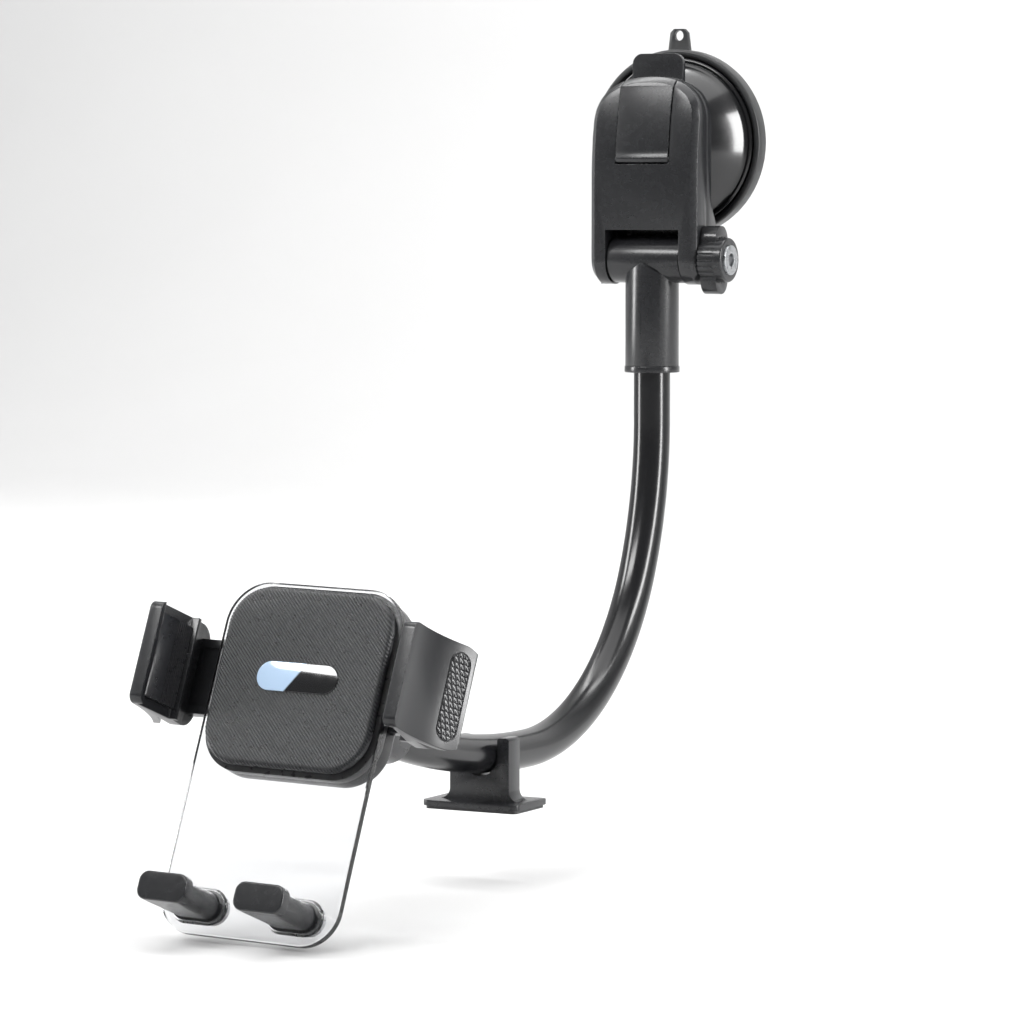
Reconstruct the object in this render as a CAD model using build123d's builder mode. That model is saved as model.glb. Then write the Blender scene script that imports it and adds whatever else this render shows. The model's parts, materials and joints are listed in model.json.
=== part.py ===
"""Car phone mount: a lever-locked suction base, a stiff gooseneck and a spring-jaw phone cradle.

Millimetres. The origin is the centre of the suction face. The glass is the plane Y = 0, the
object stands off it towards -Y, +X is to the right as the driver sees it and +Z is up.
"""

import math
import os

from build123d import *

os.makedirs("parts", exist_ok=True)

# ---------------------------------------------------------------- fits
RUNNING = 0.05  # radial clearance of a shaft or ball that turns in its seat
SLIDING = 0.15  # clearance on each side of a piece that slides
PANEL_GAP = 0.35  # visible gap around the lever and the button
SCREW_CLEAR = 0.1  # radial clearance of a screw in its hole

# ---------------------------------------------------------------- suction base
pad_radius = 36.0
pad_thick = 3.2
rim_width = 2.6
rim_height = 6.2
tab_top = 44.0
tab_thick = 2.2
tab_base_width = 9.4
tab_tip_width = 7.2
tab_hole_radius = 2.0

cup_radius = 33.0
cup_wall = 2.2
cup_top_depth = 22.3
cup_top_radius = 17.0

housing_width = 45.0
housing_top = 25.0
housing_top_radius = 24.0
housing_wall = 2.4
housing_back_depth = 20.5  # how far the upper skirt stands off the glass
ear_back_depth = 15.4
seam_depth = 24.5  # where the front cover meets the housing
front_depth = 35.0
front_bend_start = -15.0  # above this height the front face curves back
front_bend_radius = 133.0
cover_bevel = 2.2
cover_wall = 2.2
floor_depth = 22.3
floor_thick = 2.2

hinge_depth = 25.5
hinge_height = -44.8
ear_gap = 31.2  # between the inner faces of the two ears
opening_top = -33.4
apron_bottom = -42.0
apron_thick = 0.7
bolt_radius = 3.0
bolt_head_radius = 5.5
bolt_head_depth = 3.0

# ---------------------------------------------------------------- lock lever
lever_width = 22.0
lever_bottom = -8.0
lever_raise = 0.4
lever_thick = 3.6
lever_bridge = 3.2
lever_tab_width = 21.4
lever_tab_top = 34.0
lever_tab_depth = 19.0
lever_tab_thick = 2.2
lever_tab_radius = 4.0
lever_pin_radius = 0.8
lever_pin_grip = 2.0  # how far each end of the pin goes into the cover

# ---------------------------------------------------------------- suction stem
stem_radius = 4.0
stem_travel = 2.5
stem_foot_radius = 9.0
stem_foot_thick = 2.0
stem_top_depth = 30.0
stem_collar_radius = 6.0
cup_screw_circle = 11.5
cup_screw_radius = 1.2
cup_screw_head = 2.3
cup_screw_grip = 1.4
stem_wire = 0.9

# ---------------------------------------------------------------- hinge knob
knob_start = housing_width / 2 + 0.5
knob_wing_thick = 6.4
knob_wing_reach = 13.0
knob_wing_radius = 5.4
knob_grip_radius = 8.6
knob_boss_radius = 8.5
knob_boss_length = 3.4
knob_boss_fillet = 0.8
insert_radius = 5.7
insert_proud = 0.8
insert_hole_radius = 2.5

# ---------------------------------------------------------------- neck
barrel_radius = 8.95
washer_thick = 0.5
sleeve_radius = 10.3
sleeve_end = -85.5
sleeve_roof_peak = -46.0
sleeve_roof_slope = 0.55
ring_radius = 10.6
ring_length = 2.5
neck_socket_top = -60.0

# ---------------------------------------------------------------- gooseneck
neck_radius = 7.0
neck_straight_end = -106.3
bend_radius_high = 138.5
bend_angle_high = 24.7
bend_radius_low = 99.5
flex_heading = 60.0  # how far the tube has turned from straight down at the flex point
bend_radius_end = 350.0
end_heading = 17.0  # how far the tube rises above level where it enters the ferrule
ferrule_radius = 10.0
ferrule_length = 18.0
ferrule_socket = 11.0
flex_gap = 2.6  # keeps the lower tube's end clear of the upper tube as it turns

# ---------------------------------------------------------------- dashboard support
support_place = -161.0
support_length = 39.0
support_width = 25.0
support_plate = 2.0
support_corner = 3.0
support_top = -237.0
pillar_width = 24.0
pillar_depth = 8.4
pillar_fillet = 4.0
notch_gap = 0.3
post_above_neck = 0.6
support_pad_thick = 1.2
support_pad_inset = 1.0

# ---------------------------------------------------------------- ball joint
ball_radius = 8.5
ball_reach = 34.1  # from the end of the tube to the ball's centre
stud_radius = 3.0
cup_shell_radius = 10.0
cup_low_angle = 20.0
cup_high_angle = 68.0
socket_radius = 11.5
nut_radius = 13.9
nut_front = 11.0  # from the ball's centre forward to the nut's front end
nut_back = 5.5
nut_mouth_radius = 7.6
nut_flutes = 18

# ---------------------------------------------------------------- cradle
cradle_lean = 22.9  # degrees that the phone leans back
cradle_roll = -1.5  # degrees that the cradle is left turned about its own normal
ball_to_plate = 31.0
ball_drop = 3.4

plate_width = 68.5
plate_top = 33.2
plate_bottom = -89.7
plate_thick = 3.0
plate_top_radius = 15.0
plate_bottom_radius = 13.0

pad_width = 64.0
pad_height = 62.4
pad_corner = 14.0
pad_rise = 2.2
pad_edge = 1.6
badge_length = 31.3
badge_height = 10.2
badge_sink = 0.6
badge_proud = 0.3

shell_width = 66.6
shell_corner = 15.0
shell_top_gap = 0.9
front_shell_depth = 3.5
back_depth = 14.0
shell_wall = 2.0
shell_screw_across = 24.0
shell_screw_up = 23.5
shell_screw_radius = 1.2
shell_screw_head = 2.1
shell_screw_head_thick = 1.0
boss_radius = 3.2
face_wall = 1.6
back_edge = 2.5

# ---------------------------------------------------------------- cradle feet
foot_spread = 37.0
foot_above_edge = 9.5
foot_head_width = 18.5
foot_head_height = 9.7
foot_head_corner = 3.4
foot_head_depth = 4.3
foot_head_edge = 0.6
foot_reach = 25.5
foot_stem_width = 17.0
foot_stem_height = 9.4
foot_stem_corner = 4.4
foot_neck_width = 17.6  # the stem where it meets the head
foot_neck_height = 7.8
foot_neck_drop = 0.9
foot_neck_corner = 2.6
foot_collar_width = 19.4
foot_collar_height = 10.8
foot_collar_thick = 1.6
foot_screw_radius = 1.2
foot_screw_length = 12.0

# ---------------------------------------------------------------- arms
arm_close = 11.0  # how far each arm moves in from rest
rack_module = 0.6
pinion_teeth = 14
pressure_angle = 25.0
backlash = 0.12
rack_bar = 4.5
rail_thick = 4.5
rail_height = 26.5
rail_start = 31.0
rail_end = 47.6
rail_recess = 0.8
tongue_tip = 8.5
pinion_pin_radius = 1.5
pinion_thick = 4.1
pinion_spring_wire = 0.5

jaw_height = 36.0
jaw_lip_inner = 46.65
jaw_lip_width = 4.7
jaw_lip_front = 21.0
jaw_lip_thick = 2.4
jaw_seat_front = 49.2
jaw_seat_back = 46.2
jaw_floor_tip = 43.4
jaw_floor_thick = 1.7
jaw_leg_inner = 45.6
jaw_leg_outer = 50.4
jaw_pad_thick = 1.3
jaw_pad_height = 29.0
wing_back = -9.5
wing_out = 59.4
wing_thick = 2.2
wing_corner = 7.0
lip_corner = 3.0

# ---------------------------------------------------------------- release button
button_place = 19.5
button_radius = 5.5
button_proud = 1.8
button_flange_radius = 6.8
button_flange_thick = 1.0
button_spring_wire = 0.5
button_spring_radius = 3.6
pawl_width = 6.0
pawl_depth = 2.6
pawl_thick = 2.4
pawl_gap = 0.4

# ---------------------------------------------------------------- worked-out places
ear_end_radius = front_depth - hinge_depth
pinion_radius = rack_module * pinion_teeth / 2
lever_pivot_depth = front_depth + lever_raise - lever_thick / 2
lever_pivot_height = lever_bottom + lever_thick / 2
bend_high = math.radians(bend_angle_high)

# The gooseneck lies in the plane X = 0. Each (y, z) below is a point of its centre line.
high_end = (
    -hinge_depth - bend_radius_high * (1 - math.cos(bend_high)),
    neck_straight_end - bend_radius_high * math.sin(bend_high),
)


def turn_from_down(start, radius, from_angle, to_angle):
    """The end of an arc of the centre line; angles are degrees turned from straight down."""
    a, b = math.radians(from_angle), math.radians(to_angle)
    return (
        start[0] - radius * (math.cos(a) - math.cos(b)),
        start[1] - radius * (math.sin(b) - math.sin(a)),
    )


flex_point = turn_from_down(high_end, bend_radius_low, bend_angle_high, flex_heading)
low_point = turn_from_down(flex_point, bend_radius_low, flex_heading, 90)
tube_end = turn_from_down(low_point, bend_radius_end, 90, 90 + end_heading)

heading = math.radians(end_heading)
arm_direction = Vector(0, -math.cos(heading), math.sin(heading))
arm_end = Plane(origin=(0, *tube_end), x_dir=(1, 0, 0), z_dir=arm_direction)
ball_centre = Vector(0, *tube_end) + arm_direction * ball_reach

lean = math.radians(cradle_lean)
cradle_normal = Vector(0, -math.cos(lean), math.sin(lean))
cradle_right = Vector(1, 0, 0).rotate(Axis((0, 0, 0), cradle_normal), cradle_roll)
ball_plane = Plane(origin=ball_centre, x_dir=cradle_right, z_dir=cradle_normal)
plate_front = Plane(
    origin=ball_centre + ball_plane.z_dir * ball_to_plate + ball_plane.y_dir * ball_drop,
    x_dir=cradle_right,
    z_dir=cradle_normal,
)
plate_back = plate_front.offset(-plate_thick)
shell_seam = plate_front.offset(-plate_thick - front_shell_depth)
shell_back = plate_front.offset(-back_depth)


def export(part, name):
    """Label a finished sub-part and write it to its own file."""
    part.label = name
    export_step(part, f"parts/{name}.step")


def across_x(y, z, x=0.0):
    """A plane facing +X whose origin is at the given place."""
    return Plane(origin=(x, y, z), x_dir=(0, 1, 0), z_dir=(1, 0, 0))


def centre_arc(start, radius, from_angle, to_angle):
    """Draw an arc of the gooseneck's centre line in the Y-Z plane."""
    a = math.radians(from_angle)
    return JernArc(
        start=start,
        tangent=(-math.sin(a), -math.cos(a)),
        radius=radius,
        arc_size=from_angle - to_angle,
    )


# ================================================================ suction base
def cup_profile(wall):
    """Half of the bell-shaped cup in the X-Y plane, moved inwards by wall."""
    rim = cup_radius - wall
    top = cup_top_radius - wall * 0.6
    return [
        (rim, -pad_thick - 2.4),
        (rim - 4.6, -pad_thick - 6.2),
        (rim - 8.6, -14.0 + wall * 0.6),
        (top + 1.4, -cup_top_depth + 2.2 + wall),
        (top - 3.0, -cup_top_depth + wall),
    ]


with BuildPart() as suction_pad:
    with BuildSketch(Plane.XZ):
        Circle(pad_radius)
    extrude(amount=pad_thick)
    with BuildSketch(Plane.XZ.offset(pad_thick)):
        Circle(pad_radius)
        Circle(pad_radius - rim_width, mode=Mode.SUBTRACT)
    extrude(amount=rim_height - pad_thick)
    rim_edges = suction_pad.edges().filter_by(GeomType.CIRCLE).group_by(Axis.Y)[0]
    fillet(rim_edges, rim_width * 0.4)
    with BuildSketch(Plane.XZ.offset(0.6)):
        with BuildLine():
            Polyline(
                (-tab_base_width / 2, pad_radius - 2),
                (-tab_tip_width / 2, tab_top - 1.5),
                (-tab_tip_width / 2 + 1.5, tab_top),
                (tab_tip_width / 2 - 1.5, tab_top),
                (tab_tip_width / 2, tab_top - 1.5),
                (tab_base_width / 2, pad_radius - 2),
                close=True,
            )
        make_face()
        with Locations((0, tab_top - 2.6)):
            Circle(tab_hole_radius, mode=Mode.SUBTRACT)
    extrude(amount=tab_thick)
with BuildPart() as pressure_cup:
    with BuildSketch(Plane.XY):
        with BuildLine():
            outer = Spline(*cup_profile(0))
            inner = Spline(*cup_profile(cup_wall))
            mouth = stem_radius + SLIDING
            Polyline(
                outer @ 1,
                (mouth, (outer @ 1).Y),
                (mouth, (inner @ 1).Y),
                inner @ 1,
            )
            Polyline(
                inner @ 0,
                (cup_radius - cup_wall, -pad_thick),
                (cup_radius, -pad_thick),
                outer @ 0,
            )
        make_face()
    revolve(axis=Axis.Y)
    with BuildSketch(Plane.XZ.offset(cup_top_depth)):
        with PolarLocations(cup_screw_circle, 4, start_angle=45):
            Circle(cup_screw_radius)
    extrude(amount=-2 * cup_wall, mode=Mode.SUBTRACT)


def housing_outline(inset):
    """The front view of the housing: straight sides, an arched top and open at the ears."""
    half = housing_width / 2 - inset
    top = housing_top - inset
    shoulder = top - housing_top_radius + 6
    foot = hinge_height - 12
    with BuildSketch() as outline:
        with BuildLine():
            Polyline((half, shoulder), (half, foot), (-half, foot), (-half, shoulder))
            Spline(
                (-half, shoulder),
                (0, top),
                (half, shoulder),
                tangents=((0, 1), (1, 0), (0, -1)),
                tangent_scalars=(1.2, 1.6, 1.2),
            )
        make_face()
    return outline.sketch


def hollow_outline():
    """The room inside the housing, above the ears."""
    with BuildSketch() as hollow:
        add(housing_outline(housing_wall))
        with Locations((0, opening_top - 20 + housing_wall)):
            Rectangle(2 * housing_width, 40, mode=Mode.SUBTRACT)
    return hollow.sketch


def side_profile(back, inset):
    """The side view from a back depth to the curved front face, with rounded ear ends."""
    front = front_depth - inset
    bend = front_bend_radius - inset
    start = (-front, front_bend_start)
    with BuildSketch() as profile:
        with BuildLine():
            face = JernArc(start=start, tangent=(0, 1), radius=bend, arc_size=-22)
            Polyline(
                face @ 1,
                (0, (face @ 1).Y),
                (0, hinge_height),
                (-front, hinge_height),
                start,
            )
        make_face()
        with Locations((-hinge_depth, hinge_height)):
            Circle(ear_end_radius - inset)
        with Locations((-back + 20, 0)):
            Rectangle(40, 300, mode=Mode.SUBTRACT)
    return profile.sketch


with BuildPart() as bracket_housing:
    with BuildSketch(Plane.XZ.offset(ear_back_depth)):
        add(housing_outline(0))
    extrude(amount=seam_depth - ear_back_depth)
    # Everything below the hinge is rounded about the hinge's axis.
    with BuildSketch(Plane.YZ.offset(-housing_width)):
        with BuildLine():
            skirt = Spline(
                (-housing_back_depth, -20),
                (-ear_back_depth, -36),
                tangents=((0, -1), (0, -1)),
            )
            Polyline(
                skirt @ 1,
                (-ear_back_depth, hinge_height),
                (-seam_depth, hinge_height),
                (-seam_depth, housing_top + 1),
                (-housing_back_depth, housing_top + 1),
                skirt @ 0,
            )
        make_face()
        with Locations((-hinge_depth, hinge_height)):
            Circle(ear_end_radius)
    extrude(amount=2 * housing_width, mode=Mode.INTERSECT)
    # The inside is hollow in front of the floor and behind it.
    with BuildSketch(Plane.XZ.offset(floor_depth + floor_thick)):
        add(hollow_outline())
    extrude(amount=seam_depth - floor_depth, mode=Mode.SUBTRACT)
    with BuildSketch(Plane.XZ):
        add(hollow_outline())
    extrude(amount=floor_depth, mode=Mode.SUBTRACT)
    with BuildSketch(Plane.XZ):
        with Locations((0, opening_top - 20)):
            Rectangle(ear_gap, 40)
    extrude(amount=2 * front_depth, mode=Mode.SUBTRACT)
    # A thin apron between the ears closes the gap behind the barrel.
    with BuildSketch(Plane.XZ.offset(ear_back_depth)):
        with Locations((0, (opening_top + apron_bottom) / 2)):
            Rectangle(ear_gap, opening_top - apron_bottom)
    extrude(amount=apron_thick)
    # The stem passes through the floor and the lever's bridge over the top wall.
    with BuildSketch(Plane.XZ.offset(floor_depth - 1)):
        Circle(stem_collar_radius + SLIDING)
        with PolarLocations(cup_screw_circle, 4, start_angle=45):
            Circle(cup_screw_radius + SCREW_CLEAR)
    extrude(amount=floor_thick + 2, mode=Mode.SUBTRACT)
    with BuildSketch(Plane.XZ.offset(lever_tab_depth - 2)):
        with Locations((0, housing_top)):
            Rectangle(lever_width + 2 * PANEL_GAP, 2 * housing_wall + 3)
    extrude(amount=seam_depth, mode=Mode.SUBTRACT)
    with Locations(across_x(-hinge_depth, hinge_height)):
        Cylinder(bolt_radius + SCREW_CLEAR, 2 * housing_width, mode=Mode.SUBTRACT)
    with Locations(across_x(-hinge_depth, hinge_height, -housing_width / 2)):
        Cylinder(bolt_head_radius + SCREW_CLEAR, 2 * bolt_head_depth, mode=Mode.SUBTRACT)

with BuildPart() as cover_room:
    with BuildSketch(Plane.XZ.offset(seam_depth)):
        add(hollow_outline())
    extrude(amount=20)
    with BuildSketch(Plane.YZ.offset(-housing_width)):
        add(side_profile(seam_depth, cover_wall))
    extrude(amount=2 * housing_width, mode=Mode.INTERSECT)

with BuildPart() as front_cover:
    with BuildSketch(Plane.XZ.offset(seam_depth)):
        add(housing_outline(0))
    extrude(amount=20)
    with BuildSketch(Plane.YZ.offset(-housing_width)):
        add(side_profile(seam_depth, 0))
    extrude(amount=2 * housing_width, mode=Mode.INTERSECT)
    fronts = front_cover.faces().filter_by(lambda f: f.normal_at().Y < -0.6)
    rims = [e for f in fronts for e in f.edges() if e.center().Y < -seam_depth - 0.5]
    bevelled = [e for e in rims if sum(e.is_same(other) for other in rims) == 1]
    chamfer(bevelled, cover_bevel)
    add(cover_room.part, mode=Mode.SUBTRACT)
    with BuildSketch(Plane.XZ):
        with Locations((0, opening_top - 20)):
            Rectangle(ear_gap, 40)
    extrude(amount=2 * front_depth, mode=Mode.SUBTRACT)
    with BuildSketch(Plane.XZ):
        with Locations((0, lever_bottom - PANEL_GAP + 30)):
            Rectangle(lever_width + 2 * PANEL_GAP, 60)
    extrude(amount=2 * front_depth, mode=Mode.SUBTRACT)
    with Locations(across_x(-hinge_depth, hinge_height)):
        Cylinder(bolt_radius + SCREW_CLEAR, 2 * housing_width, mode=Mode.SUBTRACT)
    with Locations(across_x(-hinge_depth, hinge_height, -housing_width / 2)):
        Cylinder(bolt_head_radius + SCREW_CLEAR, 2 * bolt_head_depth, mode=Mode.SUBTRACT)
    with Locations(across_x(-lever_pivot_depth, lever_pivot_height)):
        Cylinder(lever_pin_radius, lever_width + 2 * lever_pin_grip, mode=Mode.SUBTRACT)

# ================================================================ lock lever
bridge_bottom = housing_top - lever_bridge
with BuildPart() as lock_lever:
    # A raised copy of the housing's curved front, cut to the width of the window.
    with BuildSketch(Plane.XZ.offset(lever_tab_depth)):
        add(housing_outline(0))
    extrude(amount=30)
    with BuildSketch(Plane.YZ.offset(-housing_width)):
        add(side_profile(lever_tab_depth, -lever_raise))
        with Locations((0, lever_pivot_height - 50)):
            Rectangle(6 * front_depth, 100, mode=Mode.SUBTRACT)
    extrude(amount=2 * housing_width, mode=Mode.INTERSECT)
    crown_face = lock_lever.faces().filter_by(lambda f: f.normal_at().Y < -0.6).sort_by(Axis.Z)[-1]
    chamfer(crown_face.edges().sort_by(Axis.Z)[-1], cover_bevel)
    with BuildSketch(Plane.XZ):
        Rectangle(lever_width, 2 * housing_width)
    extrude(amount=2 * front_depth, mode=Mode.INTERSECT)
    # It is hollow behind the panel and under the bridge that crosses the housing's top wall.
    with BuildSketch(Plane.YZ.offset(-housing_width)):
        add(side_profile(lever_tab_depth - 1, lever_thick - lever_raise))
        with Locations((0, bridge_bottom + 50)):
            Rectangle(6 * front_depth, 100, mode=Mode.SUBTRACT)
    extrude(amount=2 * housing_width, mode=Mode.SUBTRACT)
    with Locations(across_x(-lever_pivot_depth, lever_pivot_height)):
        Cylinder(lever_thick / 2, lever_width)
        Cylinder(lever_pin_radius + RUNNING, lever_width, mode=Mode.SUBTRACT)
    with BuildSketch(Plane.XZ.offset(lever_tab_depth)):
        with Locations((0, (bridge_bottom + lever_tab_top) / 2)):
            Rectangle(lever_tab_width, lever_tab_top - bridge_bottom)
    extrude(amount=lever_tab_thick)
    fillet(lock_lever.edges().filter_by(Axis.Y).group_by(Axis.Z)[-1], lever_tab_radius)

with BuildPart() as lever_pin:
    with Locations(across_x(-lever_pivot_depth, lever_pivot_height)):
        Cylinder(lever_pin_radius, lever_width + 2 * lever_pin_grip)

# ================================================================ suction stem
with BuildPart() as suction_stem:
    with BuildSketch(Plane.XZ.offset(pad_thick + stem_travel + PANEL_GAP)):
        Circle(stem_foot_radius)
    extrude(amount=stem_foot_thick)
    with BuildSketch(Plane.XZ.offset(pad_thick + stem_travel + PANEL_GAP)):
        Circle(stem_radius)
    extrude(amount=stem_top_depth - pad_thick - stem_travel - PANEL_GAP)
    with BuildSketch(Plane.XZ.offset(floor_depth + floor_thick + 1)):
        Circle(stem_collar_radius)
    extrude(amount=1.5)

spring_start = pad_thick + stem_travel + PANEL_GAP + stem_foot_thick + stem_wire / 2
spring_length = cup_top_depth - cup_wall - stem_wire / 2 - spring_start
with BuildPart() as stem_spring:
    with BuildLine():
        coil = Helix(
            pitch=spring_length / 4.5,
            height=spring_length,
            radius=stem_radius + 1.6,
            center=(0, -spring_start, 0),
            direction=(0, -1, 0),
        )
    with BuildSketch(Plane(origin=coil @ 0, z_dir=coil % 0)):
        Circle(stem_wire / 2)
    sweep(path=coil, is_frenet=True)

with BuildPart() as cup_screws:
    with BuildSketch(Plane.XZ.offset(cup_top_depth - cup_wall)):
        with PolarLocations(cup_screw_circle, 4, start_angle=45):
            Circle(cup_screw_radius)
    extrude(amount=floor_thick + cup_wall)
    with BuildSketch(Plane.XZ.offset(floor_depth + floor_thick)):
        with PolarLocations(cup_screw_circle, 4, start_angle=45):
            Circle(cup_screw_head)
    extrude(amount=cup_screw_grip)

# ================================================================ hinge bolt and knob
bolt_end = knob_start + knob_wing_thick + knob_boss_length - 1.6
with BuildPart() as hinge_bolt:
    with BuildSketch(across_x(-hinge_depth, hinge_height, -housing_width / 2 + 0.4)):
        RegularPolygon(bolt_head_radius, 6)
    extrude(amount=bolt_head_depth - 0.4)
    with BuildSketch(across_x(-hinge_depth, hinge_height, -housing_width / 2 + 0.4)):
        Circle(bolt_radius)
    extrude(amount=housing_width / 2 - 0.4 + bolt_end)

with BuildPart() as friction_washers:
    for start in (-ear_gap / 2, ear_gap / 2 - washer_thick):
        with BuildSketch(across_x(-hinge_depth, hinge_height, start)):
            Circle(barrel_radius - 1.5)
            Circle(bolt_radius + SCREW_CLEAR, mode=Mode.SUBTRACT)
        extrude(amount=washer_thick)

with BuildPart() as knob:
    with BuildSketch(across_x(-hinge_depth, hinge_height, knob_start)):
        Circle(knob_grip_radius)
        SlotCenterToCenter(2 * (knob_wing_reach - knob_wing_radius), 2 * knob_wing_radius, rotation=90)
        with PolarLocations(knob_grip_radius, 24):
            Circle(0.45, mode=Mode.SUBTRACT)
    extrude(amount=knob_wing_thick)
    with BuildSketch(across_x(-hinge_depth, hinge_height, knob_start + knob_wing_thick)):
        Circle(knob_boss_radius)
    extrude(amount=knob_boss_length)
    fillet(knob.edges().filter_by(GeomType.CIRCLE).group_by(Axis.X)[-1], knob_boss_fillet)
    with BuildSketch(across_x(-hinge_depth, hinge_height, knob_start)):
        Circle(insert_radius)
    extrude(amount=knob_wing_thick + knob_boss_length, mode=Mode.SUBTRACT)

with BuildPart() as knob_insert:
    with BuildSketch(across_x(-hinge_depth, hinge_height, knob_start)):
        Circle(insert_radius)
        Circle(bolt_radius + RUNNING, mode=Mode.SUBTRACT)
    extrude(amount=bolt_end - knob_start)
    with BuildSketch(across_x(-hinge_depth, hinge_height, bolt_end)):
        Circle(insert_radius)
        Circle(insert_hole_radius, mode=Mode.SUBTRACT)
    extrude(amount=knob_start + knob_wing_thick + knob_boss_length + insert_proud - bolt_end)

# ================================================================ neck
barrel_half = ear_gap / 2 - washer_thick - RUNNING
with BuildPart() as neck_tee:
    with BuildSketch(Plane.XY.offset(sleeve_end)):
        with Locations((0, -hinge_depth)):
            Circle(sleeve_radius)
    extrude(amount=sleeve_roof_peak - sleeve_end)
    # The sleeve's top is a shallow roof that runs down to both sides.
    with BuildSketch(Plane.XZ):
        with BuildLine():
            Polyline(
                (0, sleeve_roof_peak),
                (2 * sleeve_radius, sleeve_roof_peak - 2 * sleeve_radius * sleeve_roof_slope),
                (2 * sleeve_radius, sleeve_end),
                (-2 * sleeve_radius, sleeve_end),
                (-2 * sleeve_radius, sleeve_roof_peak - 2 * sleeve_radius * sleeve_roof_slope),
                close=True,
            )
        make_face()
    extrude(amount=2 * front_depth, mode=Mode.INTERSECT)
    with BuildSketch(across_x(-hinge_depth, hinge_height, -barrel_half)):
        Circle(barrel_radius)
    extrude(amount=2 * barrel_half)
    with BuildSketch(across_x(-hinge_depth, hinge_height, -barrel_half)):
        Circle(bolt_radius + RUNNING)
    extrude(amount=2 * barrel_half, mode=Mode.SUBTRACT)
    with BuildSketch(Plane.XY.offset(sleeve_end)):
        with Locations((0, -hinge_depth)):
            Circle(neck_radius)
    extrude(amount=neck_socket_top - sleeve_end, mode=Mode.SUBTRACT)

with BuildPart() as neck_ring:
    with BuildSketch(Plane.XY.offset(sleeve_end - ring_length)):
        with Locations((0, -hinge_depth)):
            Circle(ring_radius)
            Circle(neck_radius, mode=Mode.SUBTRACT)
    extrude(amount=ring_length)

# ================================================================ gooseneck
flex_turn = math.radians(flex_heading)
flex_direction = Vector(0, -math.sin(flex_turn), -math.cos(flex_turn))
flex_plane = Plane(origin=(0, *flex_point), x_dir=(1, 0, 0), z_dir=flex_direction)

with BuildPart() as gooseneck_upper:
    with BuildLine(Plane.YZ):
        Line((-hinge_depth, neck_socket_top), (-hinge_depth, neck_straight_end))
        centre_arc((-hinge_depth, neck_straight_end), bend_radius_high, 0, bend_angle_high)
        centre_arc(high_end, bend_radius_low, bend_angle_high, flex_heading)
    with BuildSketch(Plane.XY.offset(neck_socket_top)):
        with Locations((0, -hinge_depth)):
            Circle(neck_radius)
    sweep()
    # The lower half turns about this rounded end.
    with Locations(flex_plane):
        Sphere(neck_radius)

with BuildPart() as gooseneck_lower:
    with BuildLine(Plane.YZ):
        centre_arc(flex_point, bend_radius_low, flex_heading, 90)
        centre_arc(low_point, bend_radius_end, 90, 90 + end_heading)
    with BuildSketch(flex_plane):
        Circle(neck_radius)
    sweep()
    with BuildSketch(arm_end):
        Circle(neck_radius)
    extrude(amount=ferrule_socket)
    with Locations(flex_plane):
        Sphere(neck_radius + RUNNING, mode=Mode.SUBTRACT)
        Cylinder(2 * neck_radius, 2 * flex_gap, mode=Mode.SUBTRACT)

with BuildPart() as end_ferrule:
    with BuildSketch(arm_end):
        Circle(ferrule_radius)
        Circle(neck_radius, mode=Mode.SUBTRACT)
    extrude(amount=ferrule_socket)
    with BuildSketch(arm_end.offset(ferrule_socket)):
        Circle(ferrule_radius)
        Circle(stud_radius, mode=Mode.SUBTRACT)
    extrude(amount=ferrule_length - ferrule_socket)
    chamfer(end_ferrule.edges().filter_by(GeomType.CIRCLE).sort_by(Axis.Y)[0], 1.2)

with BuildPart() as ball_stud:
    with BuildSketch(arm_end.offset(ferrule_socket)):
        Circle(stud_radius)
    extrude(amount=ball_reach - ferrule_socket)
    with Locations(Plane(origin=ball_centre, z_dir=arm_direction)):
        Sphere(ball_radius)

# ================================================================ dashboard support
neck_rise = bend_radius_end - math.sqrt(bend_radius_end**2 - (support_place - low_point[0]) ** 2)
neck_there = low_point[1] + neck_rise
notch_bottom = neck_there - neck_radius - notch_gap - 0.3
post_top = neck_there + neck_radius - post_above_neck
notch_radius = neck_radius + notch_gap
with BuildPart() as support_foot:
    with BuildSketch(Plane.XY.offset(support_top - support_plate)):
        with Locations((0, support_place)):
            RectangleRounded(support_length, support_width, support_corner)
    extrude(amount=support_plate)
    pillar_plane = Plane.XZ.offset(-support_place - pillar_depth / 2)
    with BuildSketch(pillar_plane):
        with BuildLine():
            flare = pillar_width / 2 + pillar_fillet
            half = pillar_width / 2
            Line((-flare, support_top), (flare, support_top))
            RadiusArc((flare, support_top), (half, support_top + pillar_fillet), pillar_fillet)
            Line((half, support_top + pillar_fillet), (half, post_top))
            Line((half, post_top), (-half, post_top))
            Line((-half, post_top), (-half, support_top + pillar_fillet))
            RadiusArc((-half, support_top + pillar_fillet), (-flare, support_top), pillar_fillet)
        make_face()
        with Locations((0, notch_bottom + notch_radius)):
            Circle(notch_radius, mode=Mode.SUBTRACT)
        with Locations((0, notch_bottom + notch_radius + 20)):
            Rectangle(2 * notch_radius, 40, mode=Mode.SUBTRACT)
    extrude(amount=pillar_depth)
    fillet(support_foot.edges().filter_by(Axis.Y).group_by(Axis.Z)[-1], 1.2)

with BuildPart() as support_pad:
    with BuildSketch(Plane.XY.offset(support_top - support_plate - support_pad_thick)):
        with Locations((0, support_place)):
            pad_length = support_length - 2 * support_pad_inset
            pad_depth = support_width - 2 * support_pad_inset
            RectangleRounded(pad_length, pad_depth, support_corner - support_pad_inset)
    extrude(amount=support_pad_thick)

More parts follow.
